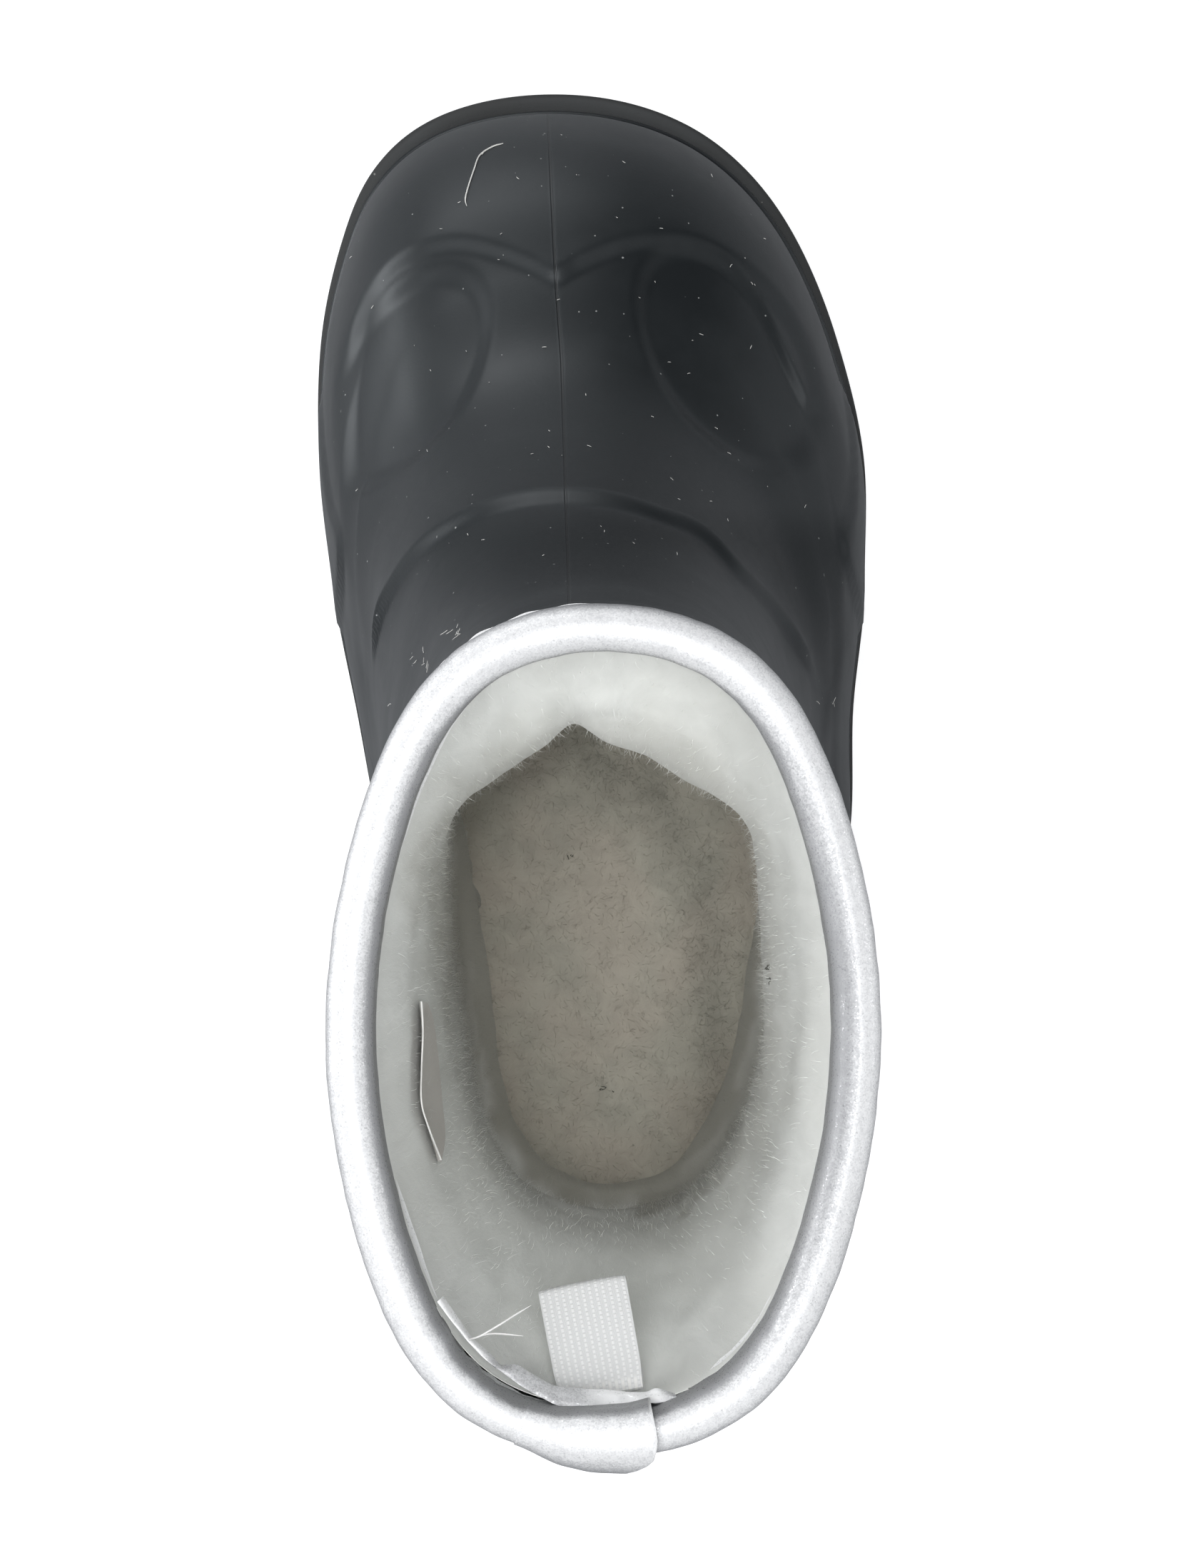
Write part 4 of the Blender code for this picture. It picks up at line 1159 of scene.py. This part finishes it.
# How far the tape turns away from the light: 0 on its roll, 1 down its sides
def tapeShade(turn, share, side):
    right = np.maximum(np.sin(turn), 0) ** 2
    front = window(*binding["frontTurn"], turn)
    first, width = binding["innerFade"]
    inside = smoothStep(0, 1, (side + 0.02 * right - first - 0.16 * front) / (width + 0.10 * front))
    inside = np.maximum(inside * (1 - 0.3 * right), right * smoothStep(*binding["rightFade"], side))
    return np.where(share > 0.5, smoothStep(*binding["outerFade"], side) * (0.8 - 0.45 * right), inside)


def makeBinding():
    def shape(along, across):
        turn = turnsOf(across, 0.0)
        onSkin, share = foldedRows(along, binding["rows"], binding["backRows"])
        onSkin = onSkin | (along == 1)
        tape = np.where(onSkin, binding["tape"], 0.0)
        offset, height = bindingFold(share, tape, binding["depth"] + last["gap"] + tape)
        point, normal = overCollar(turn, offset, height)
        ring = smoothUpper(path[-1] + 0 * turn, turn)
        waves = roughness(np.stack([ring[:, 0], ring[:, 1], share * 0.006], axis=-1), binding["waveSize"])
        rear = pinchAt(turn) * smoothStep(0.5, 0.25, share)
        swell = waves * (binding["pucker"] + binding["rearPucker"] * rear) - binding["pinch"] * rear
        side = np.abs(share - 0.5) * 2
        hem = smoothStep(*binding["hemEdge"], side) * onSkin
        swell = swell * onSkin + hem * hemWidth(across, turn, ring, share)
        point = point + normal * (np.sign(offset) * swell)[:, None]
        point[:, 2] += waves * binding["waveRise"] * onSkin
        return point, {"hem": hem, "side": tapeShade(turn, share, side) * onSkin}

    return makeSkin(
        "silverBinding", binding, shape, reflectiveTape, ["collar_binding"], 60)


print("binding")
silverBinding = makeBinding()


lap = {
    "start": -0.26,
    "end": 0.165,
    "slant": 0.045,
    "chamfer": 0.075,
    "tape": 0.0009,
    "gap": 0.0004,
    "firstGap": 0.00004,
    "lift": 0.0009,
    "wave": 0.00022,
    "rows": 60,
    "backRows": 22,
    "columns": 40,
}


def closeEnds(work):
    bmesh.ops.holes_fill(work, edges=[edge for edge in work.edges if edge.is_boundary], sides=0)
    bmesh.ops.triangulate(work, faces=[face for face in work.faces if len(face.verts) > 4])


def makeLap():
    def shape(along, across):
        onSkin, share = foldedRows(along, lap["rows"], lap["backRows"])
        chamfer = lap["slant"] * smoothStep(0.5, 0.7, share) + lap["chamfer"] * smoothStep(0.60, 0.72, share)
        turn = lap["start"] + (lap["end"] - chamfer - lap["start"]) * across
        grown = smoothStep(0.0, 0.55, across)
        lift = lap["lift"] * smoothStep(0.3, 1.0, across)
        near = lap["firstGap"] + (lap["gap"] - lap["firstGap"]) * grown
        reach = near + lift + np.where(onSkin, lap["tape"] * (0.15 + 0.85 * grown), 0.0)
        depth = binding["depth"] + last["gap"] + binding["tape"] + np.where(share > 0.5, lift, 0)
        offset, height = bindingFold(share, binding["tape"] + reach, depth)
        inner = smoothStep(0.5, 0.25, share)
        offset = offset + inner * (binding["pinch"] * pinchAt(turn) + 0.5 * (reach - near) + 0.0002)
        point, normal = overCollar(turn, offset, height)
        waves = roughness(np.stack([point[:, 0], point[:, 1], share * 0.006], axis=-1), 0.006, 2, 3.0)
        swell = np.sign(offset) * waves * lap["wave"] * smoothStep(0.05, 0.3, across)
        away = np.abs(share - 0.5) * 2
        # Painted shade down the lap's sides, as on the binding
        side = np.where(share > 0.5, smoothStep(0.12, 0.42, away) * 0.85, smoothStep(0.05, 0.30, away))
        hem = smoothStep(0.985, 1.0, across) * onSkin
        return point + normal * swell[:, None], {"hem": hem, "side": side * onSkin}

    piece = makeSkin("bindingLap", lap, shape, reflectiveTape, ["binding_lap"], 60)
    return reworked(piece, closeEnds)


print("lap")
bindingLap = makeLap()


turned = {
    "rows": 90,
    "columns": 10,
    "thickness": 0.0004,
    "height": 0.1652,
    "droop": 0.0016,
    "creases": ((0.0022, 2, 9.0, 0.0003), (0.008, 1, 3.0, 0.0005)),
    "shade": 0.35,
}

# Turned-in end of the tape, across the picture: its edge at the binding, its edge inside the boot
turnedRows = [
    ((612, 1824), (621, 1816)), ((634, 1853), (642, 1846)), ((655, 1879), (661, 1873)), ((678, 1903), (690, 1899)),
    ((700, 1920), (702, 1912)), ((716, 1932), (724, 1912)), ((735, 1945), (746, 1925)), ((762, 1960), (774, 1940)),
    ((790, 1973), (790, 1943)), ((821, 1979), (820, 1946)), ((848, 1976), (850, 1947)), ((875, 1969), (880, 1950)),
    ((905, 1966), (905, 1950)), ((925, 1965), (920, 1945)), ((950, 1960), (945, 1952)),
]


def makeTurned():
    def shape(along, across):
        height = turned["height"] - turned["droop"] * across ** 2
        picture = betweenLines(turnedRows, along, across)
        point = np.array([pointAt(x, y, z) for (x, y), z in zip(picture, height)])
        creases = sum(roughness(point, *crease) * height for *crease, height in turned["creases"])
        point[:, 2] += creases * np.sin(across * math.pi)
        hem = smoothStep(0.60, 0.75, along) * (1 - smoothStep(0.92, 0.98, along)) + smoothStep(0.25, 0.15, along)
        return point, {"hem": hem, "side": (1 - hem) * turned["shade"]}

    return makeSheet("turnedTape", turned, shape, reflectiveTape)


print("turned tape")
turnedTape = makeTurned()


ribbon = {
    "width": 0.0115,
    "length": 0.0175,
    "thickness": 0.0006,
    "gap": 0.0012,
    "back": 0.0014,
    "drop": 33,
    "turn": 11,
    "straight": 0.42,
    "puff": 0.0005,
    "curl": 0.0004,
    "rows": 90,
    "columns": 26,
}


def makeLoop():
    middle = (ribbon["gap"] + ribbon["thickness"]) / 2
    bend = ribbon["length"] - middle - ribbon["thickness"] / 2
    drop, turn = math.radians(ribbon["drop"]), math.radians(ribbon["turn"])
    along = np.array([-math.sin(turn) * math.cos(drop), math.cos(turn) * math.cos(drop), -math.sin(drop)])
    across = np.array([math.cos(turn), math.sin(turn), 0.0])
    up = np.cross(across, along)
    corners = np.array([vert.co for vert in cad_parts["pull_loop"].data.vertices])
    start = along * (corners @ along).min() - shift
    for axis in (across, up):
        start = start + axis * ((corners @ axis).min() + (corners @ axis).max()) / 2
    start = start + np.array([0.0, -ribbon["back"], 0.0])

    def shape(walk, columnShare):
        straight = ribbon["straight"]
        angle = (np.clip((walk - straight) / (1 - 2 * straight), 0, 1) - 0.5) * math.pi
        reach = bend * np.clip(np.minimum(walk, 1 - walk) / straight, 0, 1) + middle * np.cos(angle)
        rise = middle * np.sin(angle)
        share = np.clip(reach / ribbon["length"], 0, 1)
        puff = ribbon["puff"] * np.sin(share * math.pi) * (rise > 0)
        curl = ribbon["curl"] * (np.abs(columnShare - 0.5) * 2) ** 3 * smoothStep(0.1, 0.9, share)
        side = (columnShare - 0.5) * ribbon["width"] * (1 - 0.05 * (1 - smoothStep(0, 0.25, share)))
        point = start + along * reach[:, None] + up * (rise + puff - curl)[:, None] + across * side[:, None]
        return point, {"stitch": smoothStep(0.115, 0.075, share) * (walk > 0.5)}

    return makeSheet("pullLoop", ribbon, shape, ribbonSatin, ["pull_loop"], side=-1)


print("loop")
pullLoop = makeLoop()


def treeOf(piece):
    mesh = piece.data
    return BVHTree.FromPolygons([vert.co for vert in mesh.vertices], [face.vertices for face in mesh.polygons])


# The place of the picture on a piece, lifted off it a little
def landOn(tree, across, down, lift):
    return castOn(tree, across, down)[0] + Vector((0, 0, lift))


def smoothLine(points, count):
    return alongRows(points, np.linspace(0, len(points) - 1, count))


def makeFibres(name, lines, radius, material):
    curve = bpy.data.curves.new(name, "CURVE")
    curve.dimensions = "3D"
    curve.bevel_depth = radius
    curve.bevel_resolution = 1
    curve.use_fill_caps = True
    for line in lines:
        spline = curve.splines.new("POLY")
        spline.points.add(len(line) - 1)
        spline.points.foreach_set("co", np.column_stack([line, np.ones(len(line))]).ravel())
        taper = np.interp(np.linspace(0, 1, len(line)), [0, 0.1, 0.8, 1], [0.5, 1, 1, 0.3])
        spline.points.foreach_set("radius", taper)
    holder = bpy.data.objects.new(name, curve)
    mesh = bpy.data.meshes.new_from_object(holder)
    bpy.data.objects.remove(holder)
    return ownPiece(name, mesh, material)


strays = {
    "radius": 0.00011,
    "lift": 0.00025,
    "lintRadius": 0.00004,
    "lintLift": 0.00008,
    "lintRise": 0.00006,
    "lintLengths": {"clustered": (0.0008, 0.0018), "single": (0.0003, 0.0009)},
    "leastSlope": 0.12,
    "threadRadius": 0.00013,
    "tuftRadius": 0.00006,
    "tuftLift": 0.0008,
    "tuftSpread": (0.0002, 0.0004),
    "seed": 7,
}

# Places in the picture: the long fibre, clusters of lint with their number, an area with single lint, dark
# tufts with their number, and two threads with their heights
fibreSpots = ((705, 201), (689, 206), (672, 218), (664, 238), (656, 262), (652, 279), (654, 289))
lintSpots = ((598, 935, 4), (640, 886, 5), (560, 985, 3), (1166, 986, 3), (655, 893, 2), (585, 920, 3))
lintArea = {"across": (480, 1130), "down": (170, 780), "count": 60}
tuftSpots = {"footbed": ((800, 1198, 3), (853, 1523, 3)), "lining": ((1077, 1354, 4), (1077, 1370, 4))}
threadSpots = (
    ((656, 1877, 0.166), (672, 1872, 0.167), (700, 1856, 0.167), (722, 1842, 0.166), (744, 1829, 0.165)),
    ((664, 1875, 0.166), (684, 1869, 0.165), (706, 1869, 0.164), (733, 1872, 0.163)),
)


def makeStrays():
    trees = {"upper": treeOf(upper), "lining": treeOf(pileLining), "footbed": treeOf(footbedPad)}
    fibre = smoothLine([landOn(trees["upper"], x, y, strays["lift"]) for x, y in fibreSpots], 40)
    makeFibres("strayFibre", [fibre], strays["radius"], fibreWhite)
    random = np.random.default_rng(strays["seed"])

    def lintAt(x, y, length, steps, curve):
        place, normal = castOn(trees["upper"], x, y)
        if place is None or normal.z < strays["leastSlope"]:
            return []
        heading = normal.cross(Vector(random.normal(size=3))).normalized()
        bend, walk = random.normal(0, curve), []
        for step in range(steps):
            walk.append(place + normal * (strays["lintLift"] + strays["lintRise"] * step))
            place, normal, _, _ = trees["upper"].find_nearest(place + heading * length / steps)
            heading = (heading + normal.cross(heading) * bend / steps).normalized()
        return [smoothLine(walk, steps * 2)]

    def tuftAt(tree, x, y):
        start = landOn(tree, x + random.normal(0, 4), y + random.normal(0, 4), strays["tuftLift"])
        ends = [start + Vector(random.normal(0, spread, 3)) for spread in strays["tuftSpread"]]
        return smoothLine([start, *ends], 6)

    spots = [(x + random.normal(0, 9), y + random.normal(0, 6)) for x, y, count in lintSpots for _ in range(count)]
    lengths = strays["lintLengths"]
    lint = sum([lintAt(*spot, random.uniform(*lengths["clustered"]), 7, 2.4) for spot in spots], [])
    for _ in range(lintArea["count"]):
        spot = random.uniform(*lintArea["across"]), random.uniform(*lintArea["down"])
        lint += lintAt(*spot, random.uniform(*lengths["single"]), 4, 1.0)
    makeFibres("surfaceLint", lint, strays["lintRadius"], fibreWhite)
    spots = [(trees[cloth], *spot) for cloth, rows in tuftSpots.items() for spot in rows]
    tufts = [tuftAt(tree, x, y) for tree, x, y, count in spots for _ in range(count)]
    makeFibres("darkTufts", tufts, strays["tuftRadius"], tuftDark)
    lines = [[pointAt(*spot) for spot in thread] for thread in threadSpots]
    threads = [smoothLine(line, 10 * len(line) - 10) + shift for line in lines]
    makeFibres("looseThreads", threads, strays["threadRadius"], threadGrey)


print("strays")
makeStrays()


label = {"rows": 40, "columns": 16, "thickness": 0.0002, "lift": 0.0005, "flap": 0.0009}

# Outline of the label across the picture: its edge towards the collar, its edge down the boot
labelRows = [
    ((575, 1403), (592, 1405)), ((577, 1445), (601, 1432)), ((575, 1500), (608, 1490)), ((575, 1545), (613, 1545)),
    ((585, 1580), (617, 1592)), ((603, 1626), (612, 1628)),
]


def makeLabel():
    onLining = treeOf(pileLining)
    inward = Vector((1.0, 0.0, 0.12)).normalized()

    def shape(along, across):
        lift = label["lift"] + label["flap"] * (1 - across) ** 4
        picture = betweenLines(labelRows, along, across)
        point = [castOn(onLining, x, y)[0] + inward * float(raised) for (x, y), raised in zip(picture, lift)]
        # Painted highlight along the raised edge and on the top corner, where they catch the light
        litCorner = smoothStep(0.16, 0.06, along) * smoothStep(0.95, 0.6, across + along * 4)
        return np.array(point) - shift, {"edge": np.maximum(0.8 * smoothStep(0.07, 0.02, across), 0.7 * litCorner)}

    return makeSheet("sideLabel", label, shape, labelCloth)


print("label")
sideLabel = makeLabel()


pileStrands = {
    "lining": {"count": 22000, "length": 0.0019, "width": 0.00005, "root": 0.00015, "seed": 11},
    "footbed": {"count": 12000, "length": 0.0014, "width": 0.00008, "root": 0.00015, "seed": 12},
    "rise": (1.35, 0.62),
    "reach": (1.9, 0.55),
    "curl": 0.35,
    "taper": 0.75,
    "lowest": 0.018,
    "nearCollar": (0.150, 0.165),
    "footbedFrom": 0.008,
    "footbedTo": 0.105,
    "footbedHalf": 0.034,
}


def readAll(items, name, width=1, kind=float):
    values = np.zeros(len(items) * width, kind)
    items.foreach_get(name, values)
    return values


# Many small bent blades, rooted on the faces of a piece that keep() accepts
def plantPile(name, piece, values, keep, material):
    random = np.random.default_rng(values["seed"])
    count = values["count"]
    mesh = piece.data
    mesh.calc_loop_triangles()
    corners = readAll(mesh.loop_triangles, "vertices", 3, int).reshape(-1, 3)
    triangles = readAll(mesh.vertices, "co", 3).reshape(-1, 3)[corners]
    normals = np.cross(triangles[:, 1] - triangles[:, 0], triangles[:, 2] - triangles[:, 0])
    area = np.linalg.norm(normals, axis=1)
    normals /= np.maximum(area, 1e-12)[:, None]
    shade = readAll(mesh.attributes["deep"].data, "value")[corners[:, 0]]
    area = area * keep(triangles.mean(axis=1), normals) * (0.3 + 1.5 * shade)
    chosen = random.choice(len(area), count, p=area / area.sum())
    roots = np.einsum("ij,ijk->ik", random.dirichlet((1, 1, 1), count), triangles[chosen])
    up = normals[chosen]
    lean = np.cross(up, random.normal(size=up.shape))
    lean /= np.linalg.norm(lean, axis=1, keepdims=True)
    side = np.cross(up, lean)
    work = bmesh.new()
    bmesh.ops.create_grid(work, x_segments=1, y_segments=3, size=0.5)
    while len(work.verts) < count * 8:
        missing = count - len(work.verts) // 8
        copied = list(work.verts)[:missing * 8] + list(work.edges)[:missing * 10] + list(work.faces)[:missing * 3]
        bmesh.ops.duplicate(work, geom=copied)
    blades = meshFrom(name, work)
    flat = readAll(blades.vertices, "co", 3).reshape(-1, 8, 3)
    across, walk = flat[:, :, 0], flat[:, :, 1] + 0.5
    length = (values["length"] * random.uniform(0.5, 1.3, count))[:, None, None]
    width = values["width"] * (1 - pileStrands["taper"] * walk)
    rise = np.sin(walk * pileStrands["rise"][0])[:, :, None] * pileStrands["rise"][1]
    reach = (1 - np.cos(walk * pileStrands["reach"][0]))[:, :, None] * pileStrands["reach"][1]
    curl = (random.normal(0, pileStrands["curl"], count)[:, None] * walk ** 2)[:, :, None]
    up, lean, side = up[:, None, :], lean[:, None, :], side[:, None, :]
    points = roots[:, None, :] - up * values["root"] + length * (up * rise + lean * reach + side * curl)
    points = points + side * (across * width)[:, :, None]
    blades.vertices.foreach_set("co", points.ravel())
    blades.update()
    # Each blade takes the painted shade of the face it grows from
    blades.attributes.new("deep", "FLOAT", "POINT").data.foreach_set("value", np.repeat(shade[chosen], 8))
    ownPiece(name, blades, material, sharp=180)


# Only pile that can be seen through the collar
def seenPile(centres, normals):
    height = centres[:, 2]
    thinner = 1 - 0.9 * smoothStep(*pileStrands["nearCollar"], height)
    return (height > pileStrands["lowest"]) * (normals[:, 2] > -0.5) * thinner


def seenFootbed(centres, normals):
    y = centres[:, 1] - shift[1]
    along = (y > pileStrands["footbedFrom"]) * (y < pileStrands["footbedTo"])
    return (normals[:, 2] > 0.3) * along * (np.abs(centres[:, 0]) < pileStrands["footbedHalf"])


print("pile")
plantPile("liningFuzz", pileLining, pileStrands["lining"], seenPile, liningPile)
plantPile("footbedFuzz", footbedPad, pileStrands["footbed"], seenFootbed, footbedPile)


studio = {
    "floorSize": 6.0,
    "floorColour": (0.335, 0.345, 0.36),
    "worldColour": (0.97, 0.985, 1.0),
    "worldStrength": 0.035,
    "worldGlow": 0.95,
    "floorGlow": 0.80,
    "aim": (0, 0, 0.06),
    "lights": {
        "keyLight": {"at": (-0.32, -0.75, 1.70), "size": 1.0, "power": 19.0},
        "topLight": {"at": (-0.05, 0.00, 2.1), "size": 0.9, "power": 27.0},
        "frontLight": {"at": (-0.40, 1.40, 0.38), "size": 0.9, "power": 7.2},
        "sideLight": {"at": (-1.40, 0.30, 0.45), "size": 0.9, "power": 17.0},
        "rearLight": {"at": (0.80, -1.25, 0.75), "size": 1.0, "power": 4.0},
        "outerLight": {"at": (1.40, 0.15, 0.45), "size": 0.9, "power": 6.0},
    },
}


# Grey in reflections and white to the camera
def makeFloor():
    work = bmesh.new()
    bmesh.ops.create_grid(work, x_segments=1, y_segments=1, size=studio["floorSize"] / 2)
    floor = addObject("studioFloor", meshFrom("studioFloor", work))
    material, tree, shader, _ = newMaterial("paleFloor", {"Roughness": 0.9, "Emission Color": (1.0, 1.0, 1.0, 1.0)})
    glow = addMath(tree, "MULTIPLY", addNode(tree, "ShaderNodeLightPath")["Is Camera Ray"], studio["floorGlow"])
    fill(tree, shader, {"Base Color": (*studio["floorColour"], 1.0), "Emission Strength": glow})
    floor.data.materials.append(material)


def makeWorld():
    world = bpy.data.worlds.new("softStudio")
    world.use_nodes = True
    tree = world.node_tree
    seen = addNode(tree, "ShaderNodeLightPath")["Is Camera Ray"]
    strength = addMath(tree, "MULTIPLY_ADD", seen, studio["worldGlow"], studio["worldStrength"])
    fill(tree, tree.nodes["Background"], {0: (*studio["worldColour"], 1.0), "Strength": strength})
    bpy.context.scene.world = world


def makeLight(name, values):
    light = bpy.data.lights.new(name, "AREA")
    light.shape = "DISK"
    light.size = values["size"]
    light.energy = values["power"]
    holder = addObject(name, light)
    holder.location = values["at"]
    aim = Vector(studio["aim"]) - Vector(values["at"])
    holder.rotation_euler = aim.to_track_quat("-Z", "Y").to_euler()


def makeCamera():
    view = bpy.data.cameras.new("photoCamera")
    view.sensor_width = camera["sensor"]
    view.lens = camera["sensor"] * camera["focalPixels"] / max(camera["pixels"])
    holder = addObject("photoCamera", view)
    holder.location = Vector(eye + shift)
    bpy.context.scene.camera = holder


print("studio")
makeFloor()
makeWorld()
for name, values in studio["lights"].items():
    makeLight(name, values)
makeCamera()
bpy.context.scene.view_settings.view_transform = "Standard"
